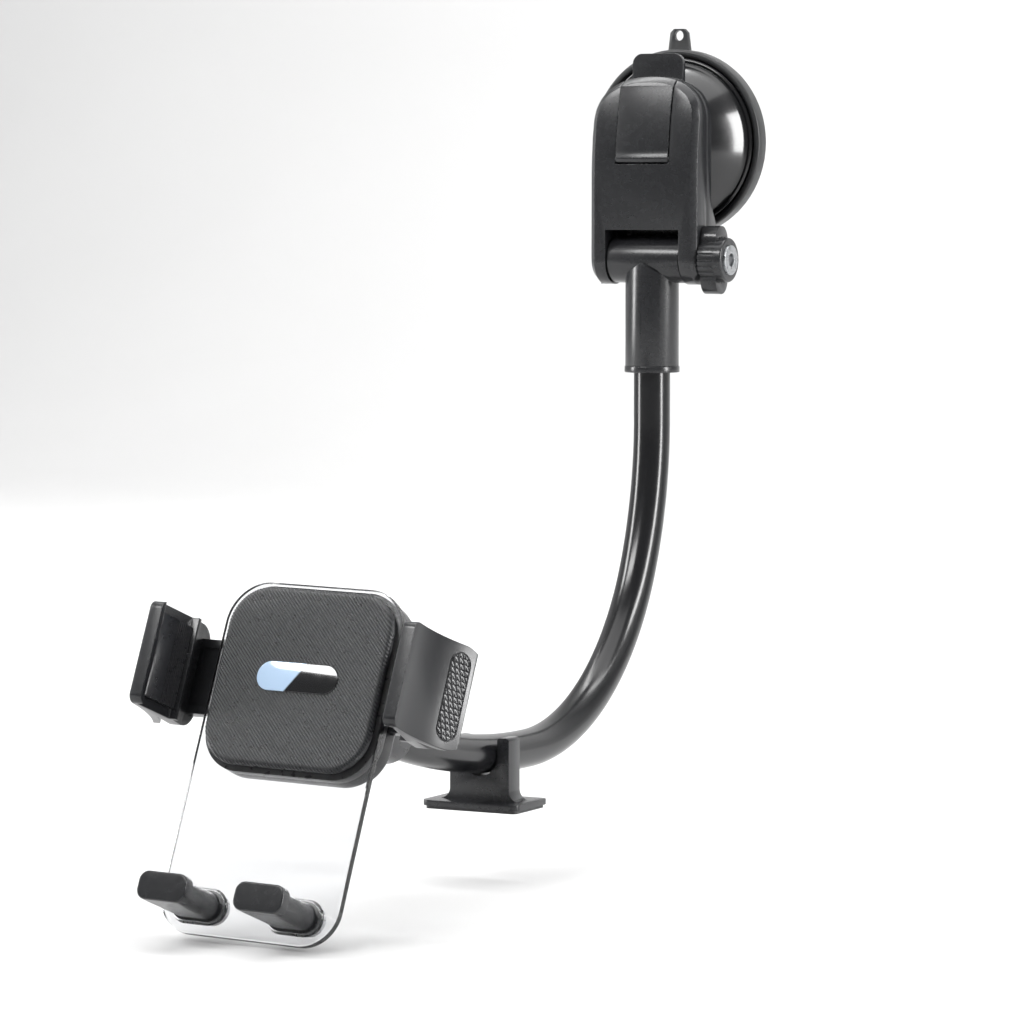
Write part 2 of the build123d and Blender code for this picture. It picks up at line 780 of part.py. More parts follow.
# ================================================================ ball joint
with BuildPart() as ball_cup:
    with BuildSketch(Plane(origin=ball_centre, x_dir=cradle_right, z_dir=-ball_plane.y_dir)):
        with BuildLine():
            start = 90 - cup_high_angle
            sweep_angle = cup_high_angle - cup_low_angle
            inner = CenterArc((0, 0), ball_radius + RUNNING, start, sweep_angle)
            outer = CenterArc((0, 0), cup_shell_radius, start, sweep_angle)
            Line(inner @ 0, outer @ 0)
            Line(inner @ 1, outer @ 1)
        make_face()
    revolve(axis=Axis(ball_centre, cradle_normal))

with BuildPart() as ball_nut:
    with BuildSketch(ball_plane.offset(-nut_back)):
        Circle(nut_radius)
        with PolarLocations(nut_radius, nut_flutes):
            Circle(0.8, mode=Mode.SUBTRACT)
    extrude(amount=nut_back + nut_front)
    with BuildSketch(ball_plane.offset(-RUNNING)):
        Circle(socket_radius + RUNNING)
    extrude(amount=nut_front + RUNNING, mode=Mode.SUBTRACT)
    with Locations(ball_plane):
        Sphere(ball_radius + RUNNING, mode=Mode.SUBTRACT)
    with BuildSketch(ball_plane.offset(-nut_back)):
        Circle(nut_mouth_radius)
    extrude(amount=nut_back, mode=Mode.SUBTRACT)

# ================================================================ cradle shells
def rounded_panel(width, top, bottom, top_radius, bottom_radius):
    """An upright panel with its own radii at the top and at the bottom."""
    with BuildSketch() as panel:
        with Locations((0, (top + bottom) / 2)):
            Rectangle(width, top - bottom)
        fillet(panel.vertices().group_by(Axis.Y)[-1], top_radius)
        fillet(panel.vertices().group_by(Axis.Y)[0], bottom_radius)
    return panel.sketch


def shell_panel(inset):
    """The outline of the mechanism housing behind the plate."""
    half = shell_width / 2 - inset
    corner = shell_corner - inset
    return rounded_panel(2 * half, plate_top - shell_top_gap - inset, -half + 0.4, corner, corner)


foot_height = plate_bottom + foot_above_edge
foot_places = [(-foot_spread / 2, foot_height), (foot_spread / 2, foot_height)]
shell_screw_places = [
    (x, y)
    for x in (-shell_screw_across, shell_screw_across)
    for y in (-shell_screw_up, shell_screw_up)
]

with BuildPart() as clear_plate:
    with BuildSketch(plate_back):
        add(rounded_panel(plate_width, plate_top, plate_bottom, plate_top_radius, plate_bottom_radius))
        with Locations(*foot_places):
            hole_width = foot_stem_width + 2 * SCREW_CLEAR
            hole_height = foot_stem_height + 2 * SCREW_CLEAR
            RectangleRounded(hole_width, hole_height, foot_stem_corner, mode=Mode.SUBTRACT)
        with Locations(*shell_screw_places):
            Circle(shell_screw_radius + SCREW_CLEAR, mode=Mode.SUBTRACT)
    extrude(amount=plate_thick)

with BuildPart() as front_pad:
    with BuildSketch(plate_front):
        RectangleRounded(pad_width, pad_height, pad_corner)
    extrude(amount=pad_rise)
    fillet(front_pad.faces().sort_by(Axis(plate_front.origin, cradle_normal))[-1].edges(), pad_edge)
    with BuildSketch(plate_front.offset(pad_rise - badge_sink)):
        SlotOverall(badge_length, badge_height)
    extrude(amount=badge_sink, mode=Mode.SUBTRACT)
    with BuildSketch(plate_front):
        with Locations(*shell_screw_places):
            Circle(shell_screw_head + SCREW_CLEAR)
    extrude(amount=shell_screw_head_thick + SCREW_CLEAR, mode=Mode.SUBTRACT)

with BuildPart() as badge:
    with BuildSketch(plate_front.offset(pad_rise - badge_sink)):
        SlotOverall(badge_length, badge_height)
    extrude(amount=badge_sink + badge_proud)

with BuildPart() as shell_screws:
    with BuildSketch(plate_front):
        with Locations(*shell_screw_places):
            Circle(shell_screw_head)
    extrude(amount=shell_screw_head_thick)
    with BuildSketch(plate_front):
        with Locations(*shell_screw_places):
            Circle(shell_screw_radius)
    extrude(amount=-(back_depth - shell_wall))


with BuildPart() as front_shell:
    with BuildSketch(shell_seam):
        add(shell_panel(0))
    extrude(amount=front_shell_depth)
    with BuildSketch(shell_seam):
        add(shell_panel(shell_wall))
    extrude(amount=front_shell_depth - face_wall, mode=Mode.SUBTRACT)
    with BuildSketch(shell_seam):
        with Locations(*shell_screw_places):
            Circle(boss_radius)
    extrude(amount=front_shell_depth)
    with BuildSketch(shell_seam):
        with Locations(*shell_screw_places):
            Circle(shell_screw_radius + SCREW_CLEAR)
        Circle(pinion_pin_radius + SCREW_CLEAR)
    extrude(amount=front_shell_depth, mode=Mode.SUBTRACT)

rail_front = plate_front.offset(-plate_thick - front_shell_depth - SLIDING)
rail_back = rail_front.offset(-rail_thick)
room_depth = back_depth - shell_wall - plate_thick - front_shell_depth
with BuildPart() as rear_shell:
    with BuildSketch(shell_back):
        add(shell_panel(0))
    extrude(amount=back_depth - plate_thick - front_shell_depth)
    fillet(rear_shell.faces().sort_by(Axis(plate_front.origin, cradle_normal))[0].edges(), back_edge)
    with BuildSketch(shell_seam):
        add(shell_panel(shell_wall))
    extrude(amount=-room_depth, mode=Mode.SUBTRACT)
    with BuildSketch(shell_seam):
        with Locations(*shell_screw_places):
            Circle(boss_radius)
    extrude(amount=-room_depth)
    with BuildSketch(shell_seam):
        with Locations(*shell_screw_places):
            Circle(shell_screw_radius)
    extrude(amount=-room_depth, mode=Mode.SUBTRACT)
    with BuildSketch(shell_seam):
        Circle(pinion_pin_radius)
    extrude(amount=-room_depth - shell_wall / 2, mode=Mode.SUBTRACT)
    with BuildSketch(shell_seam):
        Rectangle(2 * shell_width, rail_height + 2 * SLIDING)
    extrude(amount=-rail_thick - 2 * SLIDING, mode=Mode.SUBTRACT)
    with BuildSketch(shell_back):
        with Locations((0, button_place)):
            Circle(button_radius + PANEL_GAP)
    extrude(amount=shell_wall, mode=Mode.SUBTRACT)
    # The ball's socket stands on the back.
    with BuildSketch(ball_plane):
        Circle(socket_radius)
    extrude(amount=ball_to_plate - back_depth)
    with Locations(ball_plane):
        Sphere(cup_shell_radius + RUNNING, mode=Mode.SUBTRACT)

with BuildPart() as pinion_pin:
    with BuildSketch(plate_back):
        Circle(pinion_pin_radius)
    extrude(amount=-front_shell_depth - room_depth - shell_wall / 2)

# ================================================================ arm drive
pitch = math.pi * rack_module
dedendum = 1.25 * rack_module


def gear_outline():
    """The pinion's outline: involute flanks, a tooth centred straight up."""
    pressure = math.radians(pressure_angle)
    base = pinion_radius * math.cos(pressure)
    root = pinion_radius - dedendum
    tip = pinion_radius + rack_module
    half_tooth = (pitch / 4 - backlash / 4) / pinion_radius
    roll_at_pitch = math.tan(pressure) - pressure
    flank = []
    for step in range(7):
        radius = base + (tip - base) * step / 6
        turn = math.acos(base / radius)
        angle = half_tooth + roll_at_pitch - (math.tan(turn) - turn)
        flank.append((radius, angle))
    points = []
    for tooth in range(pinion_teeth):
        middle = math.pi / 2 + tooth * 2 * math.pi / pinion_teeth
        sides = [(root, flank[0][1])] + flank
        for radius, angle in sides:
            points.append((radius * math.cos(middle - angle), radius * math.sin(middle - angle)))
        for radius, angle in reversed(sides):
            points.append((radius * math.cos(middle + angle), radius * math.sin(middle + angle)))
    with BuildSketch() as outline:
        with BuildLine():
            Polyline(*points, close=True)
        make_face()
        Circle(pinion_pin_radius + RUNNING, mode=Mode.SUBTRACT)
    return outline.sketch


def tongue_outline(side):
    """The toothed tongue of the arm on this side (1 right, -1 left); its teeth face the pinion."""
    slope = math.tan(math.radians(pressure_angle))
    half = pitch / 4 - backlash / 4
    root = pinion_radius + dedendum
    tip = pinion_radius - rack_module
    points = [(-tongue_tip, root)]
    first = math.ceil(-tongue_tip / pitch + 0.5)
    last = math.floor((arm_close + 3) / pitch)
    for tooth in range(first, last):
        middle = (tooth + 0.5) * pitch
        points.append((middle - half - dedendum * slope, root))
        points.append((middle - half + rack_module * slope, tip))
        points.append((middle + half - rack_module * slope, tip))
        points.append((middle + half + dedendum * slope, root))
    points += [(rail_start, root), (rail_start, root + rack_bar), (-tongue_tip, root + rack_bar)]
    with BuildSketch() as outline:
        with BuildLine():
            Polyline(*[(side * x, -side * y) for x, y in points], close=True)
        make_face()
    return outline.sketch


with BuildPart() as pinion:
    with BuildSketch(rail_front.offset(-SLIDING)):
        add(gear_outline())
    extrude(amount=-pinion_thick)

pinion_spring_height = front_shell_depth - face_wall - 1.4 * pinion_spring_wire
with BuildPart() as pinion_spring:
    with BuildLine():
        coil = Helix(
            pitch=pinion_spring_height / 2,
            height=pinion_spring_height,
            radius=pinion_pin_radius + 1.5,
            center=shell_seam.offset(0.7 * pinion_spring_wire).origin,
            direction=cradle_normal,
        )
    with BuildSketch(Plane(origin=coil @ 0, z_dir=coil % 0)):
        Circle(pinion_spring_wire / 2)
    sweep(path=coil, is_frenet=True)


def slider(side):
    """The rail and rack of one arm."""
    middle = side * (rail_start + rail_end) / 2
    with BuildPart() as arm:
        with BuildSketch(rail_back):
            add(tongue_outline(side))
            with Locations((middle, 0)):
                Rectangle(rail_end - rail_start, rail_height)
        extrude(amount=rail_thick)
        with BuildSketch(rail_front):
            with Locations((middle, 0)):
                Rectangle(rail_end - rail_start, rail_height - 6)
        extrude(amount=-rail_recess, mode=Mode.SUBTRACT)
    return arm.part


def jaw_section(side):
    """The jaw cut across: lip, pad seat, floor, leg and the swept-back wing."""
    floor = pad_rise - 0.2
    lip_back = jaw_lip_front - jaw_lip_thick
    leg_end = -back_depth + shell_wall
    lip_outer = jaw_lip_inner + jaw_lip_width
    with BuildSketch() as section:
        with BuildLine():
            ThreePointArc((lip_outer, jaw_lip_front), (lip_outer + 1.5, 5.0), (wing_out, wing_back))
            Line((wing_out, wing_back), (wing_out - wing_thick, wing_back))
            ThreePointArc(
                (wing_out - wing_thick, wing_back),
                (jaw_leg_outer + 2.4, -3.5),
                (jaw_leg_outer, 2.0),
            )
            Polyline(
                (jaw_leg_outer, 2.0),
                (jaw_leg_outer, leg_end),
                (jaw_leg_inner, leg_end),
                (jaw_leg_inner, floor - jaw_floor_thick),
                (jaw_floor_tip, floor - jaw_floor_thick),
                (jaw_floor_tip, floor),
                (jaw_seat_back, floor),
                (jaw_seat_front, lip_back - 0.6),
                (jaw_lip_inner, lip_back),
                (jaw_lip_inner, jaw_lip_front),
                (lip_outer, jaw_lip_front),
            )
        make_face()
    if side < 0:
        return section.sketch.mirror(Plane.YZ)
    return section.sketch


# Looking along the jaw: X outwards, Y towards the driver.
across_jaw = Plane(origin=plate_front.origin, x_dir=cradle_right, z_dir=-plate_front.y_dir)
side_of_jaw = Plane(origin=plate_front.origin, x_dir=cradle_normal, z_dir=cradle_right)


def jaw(side):
    """One jaw with its rounded wing and the pocket that takes the end of the rail."""
    leg_end = -back_depth + shell_wall
    with BuildPart() as part:
        with BuildSketch(across_jaw.offset(-jaw_height / 2)):
            add(jaw_section(side))
        extrude(amount=jaw_height)
        with BuildSketch(side_of_jaw.offset(-2 * wing_out)) as outline:
            with Locations(((jaw_lip_front + leg_end) / 2, 0)):
                Rectangle(jaw_lip_front - leg_end, jaw_height)
            fillet(outline.vertices().group_by(Axis.X)[-1], lip_corner)
            fillet(outline.vertices().group_by(Axis.X)[0], wing_corner)
        extrude(amount=4 * wing_out, mode=Mode.INTERSECT)
        with BuildSketch(rail_back):
            with Locations((side * (jaw_leg_inner + rail_end) / 2, 0)):
                Rectangle(rail_end - jaw_leg_inner, rail_height)
        extrude(amount=rail_thick, mode=Mode.SUBTRACT)
    return part.part


def jaw_pad(side):
    """The rubber pad on the jaw's inner face."""
    floor = pad_rise - 0.2
    back = floor + 0.4
    front = jaw_lip_front - jaw_lip_thick - 1.6
    slope = (jaw_seat_front - jaw_seat_back) / (jaw_lip_front - jaw_lip_thick - 0.6 - floor)

    def seat(height):
        return jaw_seat_back + slope * (height - floor)

    corners = [
        (seat(back), back),
        (seat(front), front),
        (seat(front) - jaw_pad_thick * 0.6, front),
        (seat(front) - jaw_pad_thick, front - 1),
        (seat(back) - jaw_pad_thick, back),
    ]
    with BuildPart() as part:
        with BuildSketch(across_jaw.offset(-jaw_pad_height / 2)):
            with BuildLine():
                Polyline(*[(side * x, y) for x, y in corners], close=True)
            make_face()
        extrude(amount=jaw_pad_height)
    return part.part


# ================================================================ cradle feet
def foot(side):
    """One foot: a head on a tapered stem, a collar and a plug in the plate."""
    x = side * foot_spread / 2
    head_back = foot_reach - foot_head_depth
    with BuildPart() as part:
        with BuildSketch(plate_back):
            with Locations((x, foot_height)):
                RectangleRounded(foot_stem_width, foot_stem_height, foot_stem_corner)
        extrude(amount=plate_thick)
        with BuildSketch(plate_front):
            with Locations((x, foot_height)):
                SlotOverall(foot_collar_width, foot_collar_height)
        extrude(amount=foot_collar_thick)
        with BuildSketch(plate_front.offset(foot_collar_thick)):
            with Locations((x, foot_height)):
                RectangleRounded(foot_stem_width, foot_stem_height, foot_stem_corner)
        with BuildSketch(plate_front.offset(head_back)):
            with Locations((x, foot_height - foot_neck_drop)):
                RectangleRounded(foot_neck_width, foot_neck_height, foot_neck_corner)
        loft()
        with BuildSketch(plate_front.offset(head_back)):
            with Locations((x, foot_height)):
                RectangleRounded(foot_head_width, foot_head_height, foot_head_corner)
        extrude(amount=foot_head_depth)
        fillet(part.faces().sort_by(Axis(plate_front.origin, cradle_normal))[-1].edges(), foot_head_edge)
        with BuildSketch(plate_back):
            with Locations((x, foot_height)):
                Circle(foot_screw_radius)
        extrude(amount=foot_screw_length, mode=Mode.SUBTRACT)
    return part.part


with BuildPart() as foot_screws:
    with BuildSketch(plate_back):
        with Locations(*foot_places):
            Circle(foot_screw_radius)
    extrude(amount=foot_screw_length)
    with BuildSketch(plate_back):
        with Locations(*foot_places):
            SlotOverall(foot_collar_width, foot_collar_height)
    extrude(amount=-foot_collar_thick)

# ================================================================ release button
flange_back = shell_back.offset(shell_wall + 0.1)
with BuildPart() as release_button:
    with BuildSketch(flange_back):
        with Locations((0, button_place)):
            Circle(button_flange_radius)
    extrude(amount=button_flange_thick)
    with BuildSketch(flange_back):
        with Locations((0, button_place)):
            Circle(button_radius)
    extrude(amount=-shell_wall - 0.1 - button_proud)
    fillet(release_button.edges().sort_by(Axis(plate_front.origin, cradle_normal))[0], 0.7)
    pawl_bottom = pinion_radius + dedendum + rack_bar + pawl_gap
    with BuildSketch(flange_back):
        with Locations((0, (pawl_bottom + button_place) / 2)):
            Rectangle(pawl_width, button_place - pawl_bottom)
    extrude(amount=button_flange_thick)
    with BuildSketch(flange_back.offset(button_flange_thick)):
        with Locations((0, pawl_bottom + pawl_thick / 2)):
            Rectangle(pawl_width, pawl_thick)
    extrude(amount=pawl_depth)

button_spring_height = back_depth - shell_wall - 0.1 - button_flange_thick - plate_thick
button_spring_height -= face_wall + 1.2 * button_spring_wire
button_spring_start = flange_back.offset(button_flange_thick + 0.6 * button_spring_wire)
with BuildPart() as button_spring:
    with BuildLine():
        coil = Helix(
            pitch=button_spring_height / 4,
            height=button_spring_height,
            radius=button_spring_radius,
            center=button_spring_start.from_local_coords((0, button_place + 1, 0)),
            direction=cradle_normal,
        )
    with BuildSketch(Plane(origin=coil @ 0, z_dir=coil % 0)):
        Circle(button_spring_wire / 2)
    sweep(path=coil, is_frenet=True)

# ================================================================ files
singles = {
    "suction_pad": suction_pad,
    "pressure_cup": pressure_cup,
    "bracket_housing": bracket_housing,
    "front_cover": front_cover,
    "lock_lever": lock_lever,
    "lever_pin": lever_pin,
    "suction_stem": suction_stem,
    "stem_spring": stem_spring,
    "cup_screws": cup_screws,
    "hinge_bolt": hinge_bolt,
    "friction_washers": friction_washers,
    "knob": knob,
    "knob_insert": knob_insert,
    "neck_tee": neck_tee,
    "neck_ring": neck_ring,
    "gooseneck_upper": gooseneck_upper,
    "gooseneck_lower": gooseneck_lower,
    "end_ferrule": end_ferrule,
    "ball_stud": ball_stud,
    "support_foot": support_foot,
    "support_pad": support_pad,
    "ball_cup": ball_cup,
    "ball_nut": ball_nut,
    "clear_plate": clear_plate,
    "front_pad": front_pad,
    "badge": badge,
    "shell_screws": shell_screws,
    "front_shell": front_shell,
    "rear_shell": rear_shell,
    "pinion_pin": pinion_pin,
    "pinion": pinion,
    "pinion_spring": pinion_spring,
    "foot_screws": foot_screws,
    "release_button": release_button,
    "button_spring": button_spring,
}
for name, builder in singles.items():
    export(builder.part, name)
for side, word in ((-1, "left"), (1, "right")):
    export(slider(side), f"{word}_slider")
    export(jaw(side), f"{word}_jaw")
    export(jaw_pad(side), f"{word}_jaw_pad")
    export(foot(side), f"{word}_foot")
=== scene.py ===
"""The looks of a car phone mount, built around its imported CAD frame.

Shapes are worked out in millimetres in the frame's axes and turned into metres when a mesh is made.
"""

import json
import math

import bpy
from mathutils import Matrix, Vector


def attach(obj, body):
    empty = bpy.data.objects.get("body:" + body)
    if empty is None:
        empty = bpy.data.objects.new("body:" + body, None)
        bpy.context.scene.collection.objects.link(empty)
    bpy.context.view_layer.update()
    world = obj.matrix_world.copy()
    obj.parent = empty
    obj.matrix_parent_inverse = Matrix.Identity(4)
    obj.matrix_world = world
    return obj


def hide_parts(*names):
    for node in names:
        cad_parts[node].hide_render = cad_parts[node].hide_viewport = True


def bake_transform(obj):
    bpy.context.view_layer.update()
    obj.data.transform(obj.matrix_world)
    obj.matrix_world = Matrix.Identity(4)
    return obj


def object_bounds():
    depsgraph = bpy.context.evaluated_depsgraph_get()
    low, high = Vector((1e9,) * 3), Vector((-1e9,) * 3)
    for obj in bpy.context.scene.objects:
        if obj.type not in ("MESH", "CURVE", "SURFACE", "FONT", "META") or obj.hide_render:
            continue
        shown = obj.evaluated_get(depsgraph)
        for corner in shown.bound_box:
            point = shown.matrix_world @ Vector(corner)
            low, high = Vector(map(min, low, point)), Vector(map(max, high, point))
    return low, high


MM = 0.001
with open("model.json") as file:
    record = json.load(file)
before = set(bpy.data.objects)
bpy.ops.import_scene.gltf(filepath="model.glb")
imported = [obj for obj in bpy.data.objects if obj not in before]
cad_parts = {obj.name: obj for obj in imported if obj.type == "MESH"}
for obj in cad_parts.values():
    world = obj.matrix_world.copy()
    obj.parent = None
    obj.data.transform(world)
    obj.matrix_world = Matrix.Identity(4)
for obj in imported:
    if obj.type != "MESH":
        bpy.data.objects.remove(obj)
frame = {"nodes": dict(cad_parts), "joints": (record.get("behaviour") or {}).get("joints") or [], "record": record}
cad_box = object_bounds()
nodes = frame["nodes"]
joints = {j["name"]: j for j in frame["joints"]}

# ---------------------------------------------------------------- sizes in millimetres
TUBE_RADIUS = 7.0
TUBE_DEPTH = 25.5
TUBE_TOP = -62.0
TUBE_STRAIGHT_END = -106.3
# Each bend of the tube: its radius, and the degrees that it turns through from straight down.
TUBE_BENDS = ((138.5, 0.0, 24.7), (99.5, 24.7, 90.0), (350.0, 90.0, 107.0))
TUBE_TAIL = 6.0
TUBE_SIDES = 64
TUBE_STRAIGHT_STEPS = 8
TUBE_STEPS_PER_DEGREE = 1.2
TUBE_LEAST_STEPS = 6
# The direction of the tube at the flex joint, in degrees from straight down.
FLEX_HEADING = 60.0

PAD_WIDTH = 64.0
PAD_HEIGHT = 62.4
PAD_CORNER = 14.0
PAD_RISE = 2.2
PAD_EDGE = 1.7
# How far in from the ends of a line across the pad its first and last points stand.
PAD_END_PLACES = [0.0, 0.08, 0.2, 0.36, 0.56, 0.8, 1.08, 1.4, 1.75, 2.2, 3.0]
PAD_INNER_PARTS = 26
RIB_PITCH = 0.96
RIB_DEPTH = 0.36
RIB_FALL = 45.0
RIB_SAMPLES = 9
RIB_SHARPNESS = 1.6
# The ribs are shallower this near to the outline, down to this share of their depth.
RIB_FADE = 0.3
RIB_FADE_SHARE = 0.35
LINE_GUARD = 0.02
SEARCH_STEP = 0.5
SEARCH_COUNT = 80
SEARCH_FAR = 90.0
SEARCH_HALVINGS = 32

PLATE_WIDTH = 68.5
PLATE_TOP = 33.2
PLATE_BOTTOM = -89.7
PLATE_THICK = 3.0
PLATE_TOP_CORNER = 15.0
PLATE_BOTTOM_CORNER = 13.0
# The plate's rounded edge, as (depth, inset) from its front face outwards.
PLATE_EDGE = ((0.0, 0.5), (-0.1, 0.22), (-0.27, 0.06), (-0.5, 0.0))
PLATE_CORNER_STEPS = 24
FOOT_SPREAD = 37.0
FOOT_ABOVE_EDGE = 9.5
RIM_WIDTH = 20.0
RIM_HEIGHT = 11.4
# The section of the rim round a foot's hole, as (outwards, up).
RIM_SECTION = ((0.6, 0.0), (0.35, 0.7), (0.0, 0.95), (-0.5, 0.95), (-0.8, 0.7), (-0.9, 0.0))
RIM_LIFT = 0.02

CUP_RADIUS = 33.0
CUP_RIM_DEPTH = 3.2
CUP_TOP_DEPTH = 22.3
CUP_MOUTH = 4.15
CUP_ROOF = 2.2
CUP_WALL_IN = 2.4
CUP_WALL_DOWN = 1.8

JAW_PAD_HEIGHT = 29.0
JAW_PAD_BACK = 2.4
JAW_PAD_FRONT = 17.0
JAW_PAD_THICK = 1.3
JAW_PAD_EDGE = 0.8
JAW_PAD_MIDDLE = 0.6
# The ends of a jaw pad, as (share of its height, share drawn in).
JAW_PAD_ENDS = ((-0.5, 0.35), (-0.485, 0.0), (0.485, 0.0), (0.5, 0.35))
JAW_PAD_DRAW = 0.5
# The jaw's face: how far out it stands at this depth, and how far it leans out per depth.
JAW_FACE_OUT = 46.2
JAW_FACE_DEPTH = 2.0
JAW_FACE_SLOPE = 3.0 / 16.0
JAW_RIB_COUNT = 8
JAW_RIB_DEPTH = 0.45
JAW_RIB_SHARE = 0.55

GRIP_LENGTH = 30.8
GRIP_HEIGHT = 8.6
GRIP_SCALE = 1.9
GRIP_SCALE_ASPECT = 1.05
GRIP_SCALE_SHEAR = 0.35
GRIP_SCALE_TOP = 0.9
GRIP_SCALE_LOW_EDGE = 0.35
GRIP_SCALE_RISE = 0.55
GRIP_FROM_EDGE = 1.7
GRIP_RIM = 0.7
GRIP_RIM_RISE = 0.28
GRIP_LIFT = 0.02
GRIP_ROWS = 60
GRIP_COLUMNS = 170
WING_OUT = 59.4
WING_BACK = -9.5
WING_FRONT_OUT = 51.35
WING_FRONT = 21.0
WING_MIDDLE_OUT = 52.85
WING_MIDDLE = 5.0

# How CAD nodes are softened: widths in millimetres, angles in degrees.
WELD_DISTANCE = 0.004
FLAT_ANGLE = 0.6
BEVEL_ANGLE = 32.0
BEVEL_SEGMENTS = 3
SOFTENED_SHADE_ANGLE = 38.0
SOFTENED_JAW = 0.55
SOFTENED_SLIDER = 0.3
SOFTENED_FOOT = 0.3
SOFTENED = (
    ("suction_pad", 0.4),
    ("bracket_housing", 0.4),
    ("front_cover", 0.3),
    ("lock_lever", 0.25),
    ("knob", 0.25),
    ("knob_insert", 0.3),
    ("neck_tee", 0.3),
    ("neck_ring", 0.35),
    ("end_ferrule", 0.4),
    ("support_foot", 0.4),
    ("ball_nut", 0.4),
    ("rear_shell", 0.3),
    ("front_shell", 0.3),
    ("badge", 0.25),
    ("release_button", 0.2),
    ("hinge_bolt", 0.2),
)

# ---------------------------------------------------------------- values of the materials
RAMP_LOW = 0.3
RAMP_HIGH = 0.7
MOTTLE_SCALE = 420.0
MOTTLE_GLOSSIER = 0.01
MOTTLE_ROUGHER = 0.015
GRAIN_DETAIL = 2.0
GRAIN_STRENGTH = 0.35
COAT_ROUGHNESS = 0.08
METAL_LINES = 900.0
METAL_GLOSSIER = 0.06
METAL_ROUGHER = 0.08
METAL_BUMP = 0.2
METAL_BUMP_DEPTH = 0.02
CLEAR_WAVES = 35.0
CLEAR_DARK = (0.84, 0.845, 0.855)
CLEAR_LIGHT = (0.855, 0.86, 0.868)
CLEAR_ROUGH = (0.015, 0.04)
CLEAR_IOR = 1.45
# The badge's painted pale blue reflection across one end: a point on its border, the slope across it, and its two
# colours, black and the painted reflection.
BADGE_REFLECTION_SHIFT = (1.0, 0.0, 181.6)
BADGE_REFLECTION_SLOPE = (-1500.0, 0.0, 1150.0)
BADGE_BLACK = (0.003, 0.0032, 0.004, 1.0)
BADGE_PAINTED_REFLECTION = (0.42, 0.56, 0.74, 1.0)
BADGE_FINE = 300.0
BADGE_ROUGH = (0.1, 0.16)
BADGE_COAT_ROUGHNESS = 0.03

# ---------------------------------------------------------------- studio, in metres and watts
FLOOR_GAP = 0.0005
FLOOR_FRONT = 3.0
FLOOR_BACK = 1.6
FLOOR_HALF_WIDTH = 4.0
BACKDROP_BEND = 0.8
BACKDROP_TOP = 3.2
BACKDROP_STEPS = 12
PAPER_DARK = (0.6, 0.6, 0.6)
PAPER_LIGHT = (0.615, 0.615, 0.615)
PAPER_SCALE = 3.0
PAPER_ROUGHNESS = 0.8
WORLD_DIM = (0.3, 0.3, 0.3, 1.0)
WORLD_WHITE = (1.0, 1.0, 1.0, 1.0)
WORLD_DIM_UP_TO = 0.35
WORLD_WHITE_FROM = 0.62
WORLD_STRENGTH = 0.8
CAMERA_AZIMUTH = 28.0
CAMERA_PITCH = 4.0
CAMERA_PLACE = (0.764, -1.577, -0.021)
CAMERA_LENS = 158.2
CAMERA_SENSOR = 36.0
CAMERA_FAR = 20.0
AIM = (0.0, -0.15, -0.12)
BACKDROP_AIM = (0.0, 2.4, 0.4)
# Each light's name, place, target, size and power.
LIGHTS = (
    ("overhead", (0.0, -0.1, 1.6), AIM, (2.0, 1.6), 20.0),
    ("left", (-1.4, -0.75, 0.25), AIM, (0.3, 1.5), 26.0),
    ("upper", (-0.5, -1.3, 1.0), AIM, (0.9, 0.35), 16.0),
    ("right", (1.45, -0.05, 0.15), AIM, (0.28, 1.5), 30.0),
    ("paper", (0.0, 0.5, 1.5), BACKDROP_AIM, (3.0, 0.8), 75.0),
)


# ---------------------------------------------------------------- materials
def node_tree(name):
    """An empty node material and its shader, output and object coordinates."""
    material = bpy.data.materials.new(name)
    material.use_nodes = True
    tree = material.node_tree
    shader = tree.nodes["Principled BSDF"]
    place = tree.nodes.new("ShaderNodeTexCoord")
    return material, tree, shader, place.outputs["Object"]


def noise(tree, place, scale, detail=3.0, stretch=None):
    """A noise texture over the object's own coordinates, optionally stretched."""
    if stretch is not None:
        mapping = tree.nodes.new("ShaderNodeMapping")
        mapping.inputs["Scale"].default_value = stretch
        tree.links.new(place, mapping.inputs["Vector"])
        place = mapping.outputs["Vector"]
    texture = tree.nodes.new("ShaderNodeTexNoise")
    texture.inputs["Scale"].default_value = scale
    texture.inputs["Detail"].default_value = detail
    tree.links.new(place, texture.inputs["Vector"])
    return texture.outputs["Fac"]


def remap(tree, value, low, high):
    """The value's middle range turned into low to high."""
    node = tree.nodes.new("ShaderNodeMapRange")
    node.inputs["From Min"].default_value = RAMP_LOW
    node.inputs["From Max"].default_value = RAMP_HIGH
    node.inputs["To Min"].default_value = low
    node.inputs["To Max"].default_value = high
    tree.links.new(value, node.inputs["Value"])
    return node.outputs["Result"]


def two_tone(tree, value, dark, light):
    """A colour that runs from dark to light with the value."""
    ramp = tree.nodes.new("ShaderNodeValToRGB")
    ramp.color_ramp.elements[0].position = RAMP_LOW
    ramp.color_ramp.elements[1].position = RAMP_HIGH
    ramp.color_ramp.elements[0].color = (*dark, 1.0)
    ramp.color_ramp.elements[1].color = (*light, 1.0)
    tree.links.new(value, ramp.inputs["Fac"])
    return ramp.outputs["Color"]


def bump(tree, shader, height, strength, distance):
    """Bump from a height value, distance in millimetres."""
    node = tree.nodes.new("ShaderNodeBump")
    node.inputs["Strength"].default_value = strength
    node.inputs["Distance"].default_value = distance * MM
    tree.links.new(height, node.inputs["Height"])
    tree.links.new(node.outputs["Normal"], shader.inputs["Normal"])


